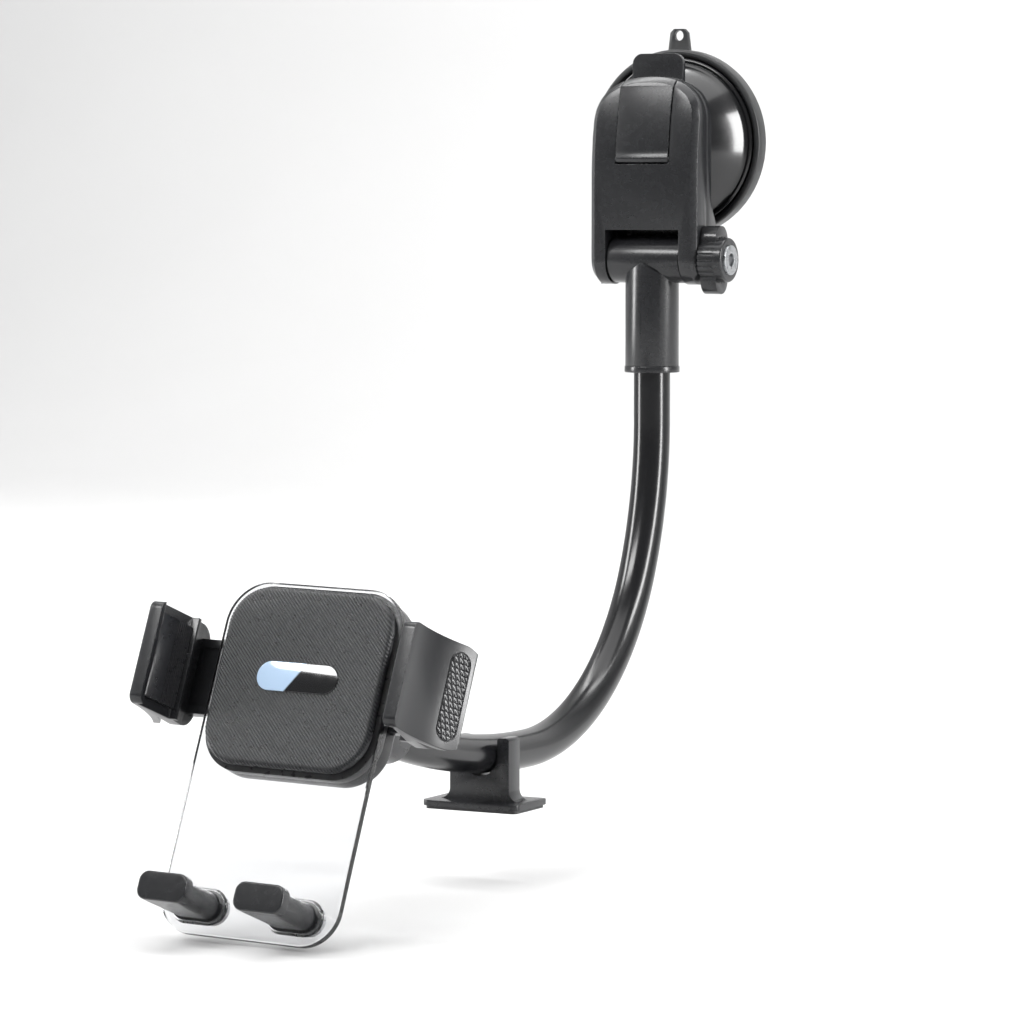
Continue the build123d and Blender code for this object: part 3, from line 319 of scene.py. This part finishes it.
def plastic(name, dark, light, rough, grain, grain_depth, coat):
    """Moulded plastic or rubber: mottled colour and gloss with a fine moulded grain."""
    material, tree, shader, place = node_tree(name)
    mottle = noise(tree, place, MOTTLE_SCALE)
    colour = two_tone(tree, mottle, dark, light)
    tree.links.new(colour, shader.inputs["Base Color"])
    roughness = remap(tree, mottle, rough - MOTTLE_GLOSSIER, rough + MOTTLE_ROUGHER)
    tree.links.new(roughness, shader.inputs["Roughness"])
    bump(tree, shader, noise(tree, place, grain, GRAIN_DETAIL), GRAIN_STRENGTH, grain_depth)
    shader.inputs["Coat Weight"].default_value = coat
    shader.inputs["Coat Roughness"].default_value = COAT_ROUGHNESS
    return material


def metal(name, dark, light, rough, stretch):
    """Turned or drawn metal with fine lines along its stretched direction."""
    material, tree, shader, place = node_tree(name)
    lines = noise(tree, place, METAL_LINES, stretch=stretch)
    tree.links.new(two_tone(tree, lines, dark, light), shader.inputs["Base Color"])
    roughness = remap(tree, lines, rough - METAL_GLOSSIER, rough + METAL_ROUGHER)
    tree.links.new(roughness, shader.inputs["Roughness"])
    bump(tree, shader, lines, METAL_BUMP, METAL_BUMP_DEPTH)
    shader.inputs["Metallic"].default_value = 1.0
    return material


def clear_plastic(name):
    """Clear acrylic with the faintest surface waviness."""
    material, tree, shader, place = node_tree(name)
    waves = noise(tree, place, CLEAR_WAVES, 1.0)
    tree.links.new(two_tone(tree, waves, CLEAR_DARK, CLEAR_LIGHT), shader.inputs["Base Color"])
    tree.links.new(remap(tree, waves, *CLEAR_ROUGH), shader.inputs["Roughness"])
    shader.inputs["Transmission Weight"].default_value = 1.0
    shader.inputs["IOR"].default_value = CLEAR_IOR
    return material


def badge_gloss(name):
    """Glossy black lacquer with a painted pale blue reflection across one end."""
    material, tree, shader, place = node_tree(name)
    mapping = tree.nodes.new("ShaderNodeMapping")
    tree.links.new(place, mapping.inputs["Vector"])
    mapping.inputs["Location"].default_value = [c * MM for c in BADGE_REFLECTION_SHIFT]
    # The mask of the painted reflection: a slanted split across the badge in its own coordinates.
    split = tree.nodes.new("ShaderNodeVectorMath")
    split.operation = "DOT_PRODUCT"
    split.inputs[1].default_value = BADGE_REFLECTION_SLOPE
    tree.links.new(mapping.outputs["Vector"], split.inputs[0])
    # Black runs into the painted pale blue reflection across the split.
    ramp = tree.nodes.new("ShaderNodeValToRGB")
    ramp.color_ramp.elements[0].position = 0.0
    ramp.color_ramp.elements[1].position = 1.0
    ramp.color_ramp.elements[0].color = BADGE_BLACK
    ramp.color_ramp.elements[1].color = BADGE_PAINTED_REFLECTION
    tree.links.new(split.outputs["Value"], ramp.inputs["Fac"])
    tree.links.new(ramp.outputs["Color"], shader.inputs["Base Color"])
    fine = noise(tree, place, BADGE_FINE)
    tree.links.new(remap(tree, fine, *BADGE_ROUGH), shader.inputs["Roughness"])
    shader.inputs["Coat Weight"].default_value = 1.0
    shader.inputs["Coat Roughness"].default_value = BADGE_COAT_ROUGHNESS
    return material


# Each plastic's dark and light colour, roughness, grain scale, grain depth and clear coat.
PLASTICS = {
    "satin_black": ((0.012, 0.0124, 0.0138), (0.0145, 0.015, 0.0165), 0.24, 3800.0, 0.002, 0.0),
    "gloss_black": ((0.005, 0.0052, 0.006), (0.007, 0.0072, 0.008), 0.2, 900.0, 0.003, 0.3),
    "tube_sleeve": ((0.005, 0.0052, 0.006), (0.0065, 0.0067, 0.0075), 0.2, 3000.0, 0.002, 0.0),
    "gel_rubber": ((0.009, 0.0095, 0.0105), (0.013, 0.0135, 0.0145), 0.4, 1500.0, 0.015, 0.0),
    "pad_rubber": ((0.014, 0.0145, 0.0165), (0.018, 0.0185, 0.0205), 0.28, 3000.0, 0.003, 0.0),
    "rubber": ((0.02, 0.02, 0.02), (0.03, 0.03, 0.03), 0.6, 1200.0, 0.03, 0.0),
    "grey_plastic": ((0.02, 0.0205, 0.022), (0.025, 0.0255, 0.0275), 0.28, 3000.0, 0.003, 0.0),
}
# Each metal's dark and light colour, roughness, and the stretch of its lines.
METALS = {
    "steel": ((0.5, 0.5, 0.51), (0.62, 0.62, 0.63), 0.3, (1.0, 0.05, 1.0)),
    "grey_metal": ((0.33, 0.34, 0.35), (0.45, 0.46, 0.47), 0.3, (0.05, 1.0, 1.0)),
}
SLOT_MATERIALS = {name: plastic(name, *values) for name, values in PLASTICS.items()}
SLOT_MATERIALS.update({name: metal(name, *values) for name, values in METALS.items()})
SLOT_MATERIALS["clear_acrylic"] = clear_plastic("clear_acrylic")
# The badge's material paints a pale blue reflection across one end.
SLOT_MATERIALS["badge_gloss"] = badge_gloss("badge_gloss")
slot_of = {s["node"]: s["material_slot"] for s in frame["record"]["subparts"]}
body_of = {n: b for b, members in frame["record"]["behaviour"]["bodies"].items() for n in members}

for name, node in nodes.items():
    node.data.materials.clear()
    node.data.materials.append(SLOT_MATERIALS[slot_of[name]])


# ---------------------------------------------------------------- mesh helpers
def make_piece(name, points, faces, slot, smooth_angle=40.0):
    """A mesh object from points in millimetres in the frame's axes."""
    mesh = bpy.data.meshes.new(name)
    mesh.from_pydata([[c * MM for c in p] for p in points], [], faces)
    mesh.validate()
    piece = bpy.data.objects.new(name, mesh)
    bpy.context.scene.collection.objects.link(piece)
    mesh.materials.append(SLOT_MATERIALS[slot])
    shade(piece, smooth_angle)
    return piece


def shade(piece, angle):
    """Smooth shading with edges sharper than the angle kept."""
    bpy.ops.object.select_all(action="DESELECT")
    piece.select_set(True)
    bpy.context.view_layer.objects.active = piece
    bpy.ops.object.shade_smooth_by_angle(angle=math.radians(angle))


def apply_modifiers(piece):
    """Turn a piece's modifiers into its mesh."""
    bpy.context.view_layer.update()
    seen = piece.evaluated_get(bpy.context.evaluated_depsgraph_get())
    mesh = bpy.data.meshes.new_from_object(seen)
    piece.modifiers.clear()
    piece.data = mesh


def softened(node_name, width):
    """A copy of a CAD node with its sharp edges rounded, standing for the node."""
    source = nodes[node_name]
    piece = bpy.data.objects.new(node_name + "_moulded", source.data.copy())
    bpy.context.scene.collection.objects.link(piece)
    weld = piece.modifiers.new("weld", "WELD")
    weld.merge_threshold = WELD_DISTANCE * MM
    flat = piece.modifiers.new("flat", "DECIMATE")
    flat.decimate_type = "DISSOLVE"
    flat.angle_limit = math.radians(FLAT_ANGLE)
    edges = piece.modifiers.new("edges", "BEVEL")
    edges.width = width * MM
    edges.segments = BEVEL_SEGMENTS
    edges.limit_method = "ANGLE"
    edges.angle_limit = math.radians(BEVEL_ANGLE)
    edges.use_clamp_overlap = True
    edges.harden_normals = False
    apply_modifiers(piece)
    shade(piece, SOFTENED_SHADE_ANGLE)
    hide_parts(node_name)
    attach(piece, body_of[node_name])
    return piece


def loft(rings, closed_ends=True):
    """Points and faces through rings of equal length."""
    count = len(rings[0])
    points = [p for ring in rings for p in ring]
    faces = []
    for i in range(len(rings) - 1):
        for j in range(count):
            k = (j + 1) % count
            faces.append((i * count + j, i * count + k, (i + 1) * count + k, (i + 1) * count + j))
    if closed_ends:
        faces.append(tuple(reversed(range(count))))
        last = (len(rings) - 1) * count
        faces.append(tuple(range(last, last + count)))
    return points, faces


def lathe(profile, to_point, steps=160):
    """A closed profile of (radius, height) turned once; to_point places (x, y, height)."""
    count = len(profile)
    points = []
    for i in range(steps):
        angle = 2 * math.pi * i / steps
        for radius, height in profile:
            points.append(to_point(radius * math.cos(angle), radius * math.sin(angle), height))
    faces = []
    for i in range(steps):
        here, ahead = i * count, (i + 1) % steps * count
        for j in range(count):
            k = (j + 1) % count
            faces.append((here + j, here + k, ahead + k, ahead + j))
    return points, faces


# ---------------------------------------------------------------- the cradle's own axes
right = -Vector(joints["left_arm_slide"]["axis"])
normal = Vector(joints["cradle_turn"]["axis"])
upward = normal.cross(right)
cradle_origin = Vector(joints["left_arm_slide"]["pos_m"]) / MM


def on_cradle(x, y, z):
    """A point given across, up and out from the middle of the plate's front face."""
    return cradle_origin + right * x + upward * y + normal * z


# ---------------------------------------------------------------- gooseneck
def tube_path():
    """Points and directions along the tube's centre line, in the plane X = 0."""
    path = []
    y, z = -TUBE_DEPTH, TUBE_STRAIGHT_END
    for i in range(TUBE_STRAIGHT_STEPS + 1):
        down = (TUBE_STRAIGHT_END - TUBE_TOP) * i / TUBE_STRAIGHT_STEPS
        path.append((y, TUBE_TOP + down, 0.0))
    for radius, start, end in TUBE_BENDS:
        steps = max(TUBE_LEAST_STEPS, int(abs(end - start) * TUBE_STEPS_PER_DEGREE))
        first = math.radians(start)
        for i in range(1, steps + 1):
            turn = first + math.radians(end - start) * i / steps
            back = radius * (math.cos(first) - math.cos(turn))
            down = radius * (math.sin(turn) - math.sin(first))
            path.append((y - back, z - down, turn))
        y, z = path[-1][0], path[-1][1]
    turn = path[-1][2]
    path.append((y - TUBE_TAIL * math.sin(turn), z - TUBE_TAIL * math.cos(turn), turn))
    return path


def build_tube():
    """The sleeve of the gooseneck as one bent piece."""
    rings = []
    for y, z, turn in tube_path():
        across = Vector((0.0, math.cos(turn), -math.sin(turn)))
        ring = []
        for i in range(TUBE_SIDES):
            angle = 2 * math.pi * i / TUBE_SIDES
            side = Vector((1.0, 0.0, 0.0)) * math.cos(angle) + across * math.sin(angle)
            ring.append(Vector((0.0, y, z)) + side * TUBE_RADIUS)
        rings.append(ring)
    points, faces = loft(rings)
    piece = make_piece("gooseneck_sleeve", points, faces, "tube_sleeve")
    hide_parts("gooseneck_upper", "gooseneck_lower")
    turn = math.radians(FLEX_HEADING)
    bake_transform(piece)


build_tube()


# ---------------------------------------------------------------- front pad
def pad_inside(x, y):
    """How far a point is inside the pad's outline, negative outside."""
    qx = abs(x) - (PAD_WIDTH / 2 - PAD_CORNER)
    qy = abs(y) - (PAD_HEIGHT / 2 - PAD_CORNER)
    outer = math.hypot(max(qx, 0.0), max(qy, 0.0)) + min(max(qx, qy), 0.0)
    return PAD_CORNER - outer


def edge_along(x, y, dx, dy):
    """The distance from a point inside the pad to its outline along a direction."""
    low, high = 0.0, SEARCH_FAR
    for _ in range(SEARCH_HALVINGS):
        middle = (low + high) / 2
        if pad_inside(x + dx * middle, y + dy * middle) > 0:
            low = middle
        else:
            high = middle
    return low


def places_along(length):
    """Where the points of a line across the pad stand, closer together near its ends."""
    last = PAD_END_PLACES[-1]
    places = PAD_END_PLACES
    if length < 2 * last:
        places = [min(e, length / 2 * e / last) for e in PAD_END_PLACES]
    between = length - 2 * places[-1]
    inner = [places[-1] + between * k / PAD_INNER_PARTS for k in range(1, PAD_INNER_PARTS)]
    return places + inner + [length - e for e in reversed(places)]


def build_pad():
    """The ribbed rubber pad: lines across the ribs, each sampled from edge to edge."""
    fall = math.radians(RIB_FALL)
    dx, dy = math.cos(fall), -math.sin(fall)
    sx, sy = -dy, dx
    span = pad_reach(sx, sy)
    lines = int(2 * span / (RIB_PITCH / RIB_SAMPLES))
    rows = []
    for i in range(lines + 1):
        s = -span + 2 * span * i / lines
        s = max(-span + LINE_GUARD, min(span - LINE_GUARD, s))
        inside = deepest_on_line(s, sx, sy, dx, dy)
        if inside is None:
            continue
        ox, oy = inside
        ahead = edge_along(ox, oy, dx, dy)
        behind = edge_along(ox, oy, -dx, -dy)
        length = ahead + behind
        ts = places_along(length)
        wave = 0.5 - 0.5 * math.cos(2 * math.pi * s / RIB_PITCH)
        row = []
        start_x, start_y = ox - dx * behind, oy - dy * behind
        row.append(on_cradle(start_x, start_y, 0.0))
        for t in ts:
            x, y = start_x + dx * t, start_y + dy * t
            gap = max(0.0, min(PAD_EDGE, pad_inside(x, y)))
            rise = PAD_RISE - PAD_EDGE + math.sqrt(max(0.0, PAD_EDGE**2 - (PAD_EDGE - gap) ** 2))
            fade = min(1.0, gap / RIB_FADE + RIB_FADE_SHARE)
            depth = RIB_DEPTH * (1 - wave) ** RIB_SHARPNESS * fade
            row.append(on_cradle(x, y, rise - depth))
        row.append(on_cradle(start_x + dx * length, start_y + dy * length, 0.0))
        rows.append(row)
    count = len(rows[0])
    points = [p for row in rows for p in row]
    faces = []
    for i in range(len(rows) - 1):
        for j in range(count - 1):
            here, ahead = i * count + j, (i + 1) * count + j
            faces.append((here, ahead, ahead + 1, here + 1))
    piece = make_piece("ribbed_pad", points, faces, "pad_rubber", 60.0)
    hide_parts("front_pad")
    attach(piece, "cradle")


def pad_reach(sx, sy):
    """How far the rounded outline reaches in a direction."""
    straight_x = PAD_WIDTH / 2 - PAD_CORNER
    straight_y = PAD_HEIGHT / 2 - PAD_CORNER
    return abs(sx) * straight_x + abs(sy) * straight_y + PAD_CORNER


def deepest_on_line(s, sx, sy, dx, dy):
    """The point of the line at offset s that is furthest inside the pad, or None."""
    best, best_gap = None, 0.0
    for k in range(-SEARCH_COUNT, SEARCH_COUNT + 1):
        x = sx * s + dx * k * SEARCH_STEP
        y = sy * s + dy * k * SEARCH_STEP
        gap = pad_inside(x, y)
        if gap > best_gap:
            best, best_gap = (x, y), gap
    return best


build_pad()


# ---------------------------------------------------------------- clear plate
def plate_outline(inset):
    """The plate's outline, going round, in its own axes."""
    outline = []
    half = PLATE_WIDTH / 2
    corners = (
        (half, PLATE_TOP, PLATE_TOP_CORNER, 0.0),
        (-half, PLATE_TOP, PLATE_TOP_CORNER, 90.0),
        (-half, PLATE_BOTTOM, PLATE_BOTTOM_CORNER, 180.0),
        (half, PLATE_BOTTOM, PLATE_BOTTOM_CORNER, 270.0),
    )
    for x, y, radius, start in corners:
        cx = x - math.copysign(radius, x)
        cy = y - radius if y > 0 else y + radius
        for k in range(PLATE_CORNER_STEPS + 1):
            angle = math.radians(start + 90.0 * k / PLATE_CORNER_STEPS)
            reach = radius - inset
            outline.append((cx + reach * math.cos(angle), cy + reach * math.sin(angle)))
    return outline


def build_plate():
    """The clear plate: flat faces joined by rounded edges."""
    rings = []
    for z, inset in PLATE_EDGE:
        rings.append([on_cradle(x, y, z) for x, y in plate_outline(inset)])
    for z, inset in reversed(PLATE_EDGE):
        rings.append([on_cradle(x, y, -PLATE_THICK - z) for x, y in plate_outline(inset)])
    points, faces = loft(list(reversed(rings)))
    piece = make_piece("clear_panel", points, faces, "clear_acrylic", 12.0)
    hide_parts("clear_plate")
    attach(piece, "cradle")
    for side, word in ((-1, "left"), (1, "right")):
        build_hole_rim(side, word)


def stadium(cx, cy, width, height, steps=20):
    """A stadium's outline, going round."""
    radius = height / 2
    outline = []
    for centre, start in ((cx + width / 2 - radius, -90.0), (cx - width / 2 + radius, 90.0)):
        for k in range(steps + 1):
            angle = math.radians(start + 180.0 * k / steps)
            outline.append((centre + radius * math.cos(angle), cy + radius * math.sin(angle)))
    return outline


def build_hole_rim(side, word):
    """The clear raised rim round the hole that a foot is fixed in."""
    cx, cy = side * FOOT_SPREAD / 2, PLATE_BOTTOM + FOOT_ABOVE_EDGE
    rings = []
    for grow, z in RIM_SECTION:
        outline = stadium(cx, cy, RIM_WIDTH + 2 * grow, RIM_HEIGHT + 2 * grow)
        rings.append([on_cradle(x, y, z + RIM_LIFT) for x, y in outline])
    points, faces = loft(rings, closed_ends=False)
    piece = make_piece(word + "_hole_rim", points, faces, "clear_acrylic", 40.0)
    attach(piece, "cradle")


build_plate()


# ---------------------------------------------------------------- suction cup
def behind_front(x, y, depth):
    """A lathe point about the suction axis: depth stands off the glass."""
    return Vector((x, -depth, y))


def build_cup():
    """The bell-shaped cup with a bead round its rim and a soft crown."""
    r = CUP_RADIUS
    outer = [
        (r - 0.4, CUP_RIM_DEPTH),
        (r, CUP_RIM_DEPTH + 0.5),
        (r, CUP_RIM_DEPTH + 1.9),
        (r - 0.5, CUP_RIM_DEPTH + 2.6),
        (r - 1.4, CUP_RIM_DEPTH + 2.9),
        (r - 2.1, CUP_RIM_DEPTH + 2.5),
        (r - 2.6, CUP_RIM_DEPTH + 2.7),
        (r - 3.4, CUP_RIM_DEPTH + 3.8),
        (r - 4.8, CUP_RIM_DEPTH + 6.0),
        (r - 6.6, CUP_RIM_DEPTH + 8.5),
        (r - 8.8, CUP_RIM_DEPTH + 11.2),
        (r - 11.4, CUP_RIM_DEPTH + 14.0),
        (r - 14.2, CUP_RIM_DEPTH + 16.6),
        (r - 16.4, CUP_TOP_DEPTH - 1.0),
        (r - 18.4, CUP_TOP_DEPTH - 0.25),
        (r - 20.0, CUP_TOP_DEPTH),
        (CUP_MOUTH, CUP_TOP_DEPTH),
    ]
    inner = [(CUP_MOUTH, CUP_TOP_DEPTH - CUP_ROOF), (r - 20.0, CUP_TOP_DEPTH - CUP_ROOF)]
    inner += [(radius - CUP_WALL_IN, depth - CUP_WALL_DOWN) for radius, depth in reversed(outer[8:14])]
    inner += [(r - 2.8, CUP_RIM_DEPTH)]
    points, faces = lathe(outer + inner, behind_front)
    piece = make_piece("cup_dome", points, faces, "gloss_black", 50.0)
    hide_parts("pressure_cup")
    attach(piece, "base")


build_cup()


# ---------------------------------------------------------------- jaws
def wing_outside(t):
    """The wing's outer surface from its front (0) to its back edge (1), as (out, depth)."""
    a = Vector((WING_FRONT_OUT, WING_FRONT))
    b = Vector((WING_MIDDLE_OUT, WING_MIDDLE))
    c = Vector((WING_OUT, WING_BACK))
    centre, radius = circle_through(a, b, c)
    first = math.atan2(a.y - centre.y, a.x - centre.x)
    last = math.atan2(c.y - centre.y, c.x - centre.x)
    turn = (last - first + math.pi) % (2 * math.pi) - math.pi
    angle = first + turn * t
    place = centre + Vector((math.cos(angle), math.sin(angle))) * radius
    out = (centre - place).normalized()
    return place, out, abs(turn) * radius


def circle_through(a, b, c):
    """The circle through three points of a plane."""
    d = 2 * (a.x * (b.y - c.y) + b.x * (c.y - a.y) + c.x * (a.y - b.y))
    aa, bb, cc = a.length_squared, b.length_squared, c.length_squared
    x = (aa * (b.y - c.y) + bb * (c.y - a.y) + cc * (a.y - b.y)) / d
    y = (aa * (c.x - b.x) + bb * (a.x - c.x) + cc * (b.x - a.x)) / d
    centre = Vector((x, y))
    return centre, (a - centre).length


def grip_inside(along, across):
    """How far a point is inside the stadium-shaped grip."""
    straight = GRIP_LENGTH / 2 - GRIP_HEIGHT / 2
    return GRIP_HEIGHT / 2 - math.hypot(max(abs(along) - straight, 0.0), across)


def scale_height(along, across):
    """Overlapping pointed scales, as a height from 0 to 1."""
    u = along / GRIP_SCALE
    v = across / (GRIP_SCALE * GRIP_SCALE_ASPECT) + GRIP_SCALE_SHEAR * u
    fu, fv = u - math.floor(u), v - math.floor(v)
    crown = GRIP_SCALE_LOW_EDGE + (1 - GRIP_SCALE_LOW_EDGE) * math.sin(math.pi * fv)
    return GRIP_SCALE_TOP * (1 - fu) * crown


def grip_height(along, across):
    """The grip's height over the wing: a rounded rim with scales inside it."""
    gap = max(0.0, grip_inside(along, across))
    if gap < GRIP_RIM:
        middle = GRIP_RIM / 2
        return GRIP_RIM_RISE * max(0.0, 1 - abs(gap - middle) / middle)
    return GRIP_LIFT + GRIP_SCALE_RISE * scale_height(along, across)


def build_grip(side, word):
    """The scaled grip near the back edge of a wing, in a raised rim."""
    arc = wing_outside(0.0)[2]
    centre_t = 1.0 - (GRIP_HEIGHT / 2 + GRIP_FROM_EDGE) / arc
    straight = GRIP_LENGTH / 2 - GRIP_HEIGHT / 2
    points, faces = [], []
    for i in range(GRIP_ROWS + 1):
        across = (i / GRIP_ROWS - 0.5) * GRIP_HEIGHT
        half = straight + math.sqrt(max(0.0, (GRIP_HEIGHT / 2) ** 2 - across**2))
        for j in range(GRIP_COLUMNS + 1):
            along = (j / GRIP_COLUMNS * 2 - 1) * half
            place, out, _ = wing_outside(centre_t + across / arc)
            place = place + out * (GRIP_LIFT + grip_height(along, across))
            points.append(on_cradle(side * place.x, along, place.y))
    for i in range(GRIP_ROWS):
        for j in range(GRIP_COLUMNS):
            here = i * (GRIP_COLUMNS + 1) + j
            ahead = here + GRIP_COLUMNS + 1
            faces.append((here, ahead, ahead + 1, here + 1))
    piece = make_piece(word + "_grip", points, faces, "satin_black", 30.0)
    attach(piece, word + "_arm")


def jaw_face(z):
    """How far out the jaw's inner face stands at a depth."""
    return JAW_FACE_OUT + JAW_FACE_SLOPE * (z - JAW_FACE_DEPTH)


def build_jaw_pad(side, word):
    """The rubber strip inside a jaw, with fine ribs on the half towards the plate."""
    back, front = JAW_PAD_BACK, JAW_PAD_FRONT
    profile = [(jaw_face(back), back), (jaw_face(front), front)]
    profile.append((jaw_face(front) - JAW_PAD_EDGE, front))
    profile.append((jaw_face(front) - JAW_PAD_THICK, front - JAW_PAD_EDGE))
    middle = (back + front) / 2
    step = (middle - back) / (JAW_RIB_COUNT * 2)
    for k in range(JAW_RIB_COUNT * 2):
        z = middle - step * k
        x = jaw_face(z) - JAW_PAD_THICK + (JAW_RIB_DEPTH if k % 2 else 0.0)
        profile.append((x, z))
        profile.append((x, z - step * JAW_RIB_SHARE))
    profile.append((jaw_face(back) - JAW_PAD_THICK, back))
    centre = jaw_face(back) - JAW_PAD_MIDDLE
    rings = []
    for y, inset in JAW_PAD_ENDS:
        ring = []
        for x, z in profile:
            x = x + (centre - x) * inset * JAW_PAD_DRAW
            ring.append(on_cradle(side * x, y * JAW_PAD_HEIGHT, z))
        rings.append(ring)
    points, faces = loft(rings)
    piece = make_piece(word + "_jaw_rubber", points, faces, "pad_rubber", 30.0)
    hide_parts(word + "_jaw_pad")
    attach(piece, word + "_arm")


for side, word in ((-1, "left"), (1, "right")):
    softened(word + "_jaw", SOFTENED_JAW)
    build_grip(side, word)
    build_jaw_pad(side, word)
    softened(word + "_slider", SOFTENED_SLIDER)
    softened(word + "_foot", SOFTENED_FOOT)

for name, width in SOFTENED:
    softened(name, width)


# ---------------------------------------------------------------- studio
def build_floor():
    """A pale floor that curves up into a backdrop."""
    low = cad_box[0][2] - FLOOR_GAP
    profile = [(-FLOOR_FRONT, 0.0), (FLOOR_BACK, 0.0)]
    bend = BACKDROP_BEND
    for k in range(1, BACKDROP_STEPS + 1):
        angle = math.pi / 2 * k / BACKDROP_STEPS
        profile.append((FLOOR_BACK + bend * math.sin(angle), bend - bend * math.cos(angle)))
    profile.append((FLOOR_BACK + bend, BACKDROP_TOP))
    points, faces = [], []
    for y, z in profile:
        for x in (-FLOOR_HALF_WIDTH, FLOOR_HALF_WIDTH):
            points.append((x, y, low + z))
    for i in range(len(profile) - 1):
        faces.append((2 * i, 2 * i + 1, 2 * i + 3, 2 * i + 2))
    mesh = bpy.data.meshes.new("studio_floor")
    mesh.from_pydata(points, [], faces)
    floor = bpy.data.objects.new("studio_floor", mesh)
    bpy.context.scene.collection.objects.link(floor)
    shade(floor, 60.0)
    material, tree, shader, place = node_tree("studio_paper")
    paper = noise(tree, place, PAPER_SCALE)
    tree.links.new(two_tone(tree, paper, PAPER_DARK, PAPER_LIGHT), shader.inputs["Base Color"])
    shader.inputs["Roughness"].default_value = PAPER_ROUGHNESS
    mesh.materials.append(material)


def soft_light(name, place, target, size, power):
    """A large soft area light aimed at a point."""
    data = bpy.data.lights.new(name, "AREA")
    data.shape = "RECTANGLE"
    data.size, data.size_y = size
    data.energy = power
    lamp = bpy.data.objects.new(name, data)
    bpy.context.scene.collection.objects.link(lamp)
    direction = Vector(target) - Vector(place)
    lamp.location = place
    lamp.rotation_euler = direction.to_track_quat("-Z", "Y").to_euler()


def build_world(tree):
    """A studio that is white behind the object and dim behind the camera."""
    place = tree.nodes.new("ShaderNodeTexCoord")
    split = tree.nodes.new("ShaderNodeSeparateXYZ")
    tree.links.new(place.outputs["Generated"], split.inputs["Vector"])
    ramp = tree.nodes.new("ShaderNodeValToRGB")
    ramp.color_ramp.elements[0].position = WORLD_DIM_UP_TO
    ramp.color_ramp.elements[0].color = WORLD_DIM
    ramp.color_ramp.elements[1].position = WORLD_WHITE_FROM
    ramp.color_ramp.elements[1].color = WORLD_WHITE
    remapped = tree.nodes.new("ShaderNodeMapRange")
    remapped.inputs["From Min"].default_value = -1.0
    tree.links.new(split.outputs["Y"], remapped.inputs["Value"])
    tree.links.new(remapped.outputs["Result"], ramp.inputs["Fac"])
    tree.links.new(ramp.outputs["Color"], tree.nodes["Background"].inputs["Color"])
    tree.nodes["Background"].inputs["Strength"].default_value = WORLD_STRENGTH


build_floor()
world = bpy.data.worlds.new("studio")
bpy.context.scene.world = world
world.use_nodes = True
build_world(world.node_tree)
bpy.context.scene.view_settings.view_transform = "Standard"
for light in LIGHTS:
    soft_light(*light)


def build_camera():
    """The camera, in front of the mount and to its right, looking slightly down."""
    a, p = math.radians(CAMERA_AZIMUTH), math.radians(CAMERA_PITCH)
    rightward = Vector((math.cos(a), math.sin(a), 0.0))
    forward = Vector((-math.sin(a) * math.cos(p), math.cos(a) * math.cos(p), -math.sin(p)))
    up = rightward.cross(forward)
    data = bpy.data.cameras.new("camera")
    data.lens = CAMERA_LENS
    data.sensor_width = CAMERA_SENSOR
    data.clip_end = CAMERA_FAR
    camera = bpy.data.objects.new("camera", data)
    bpy.context.scene.collection.objects.link(camera)
    turn = Matrix((rightward, up, -forward)).transposed()
    camera.matrix_world = Matrix.Translation(CAMERA_PLACE) @ turn.to_4x4()
    bpy.context.scene.camera = camera


build_camera()
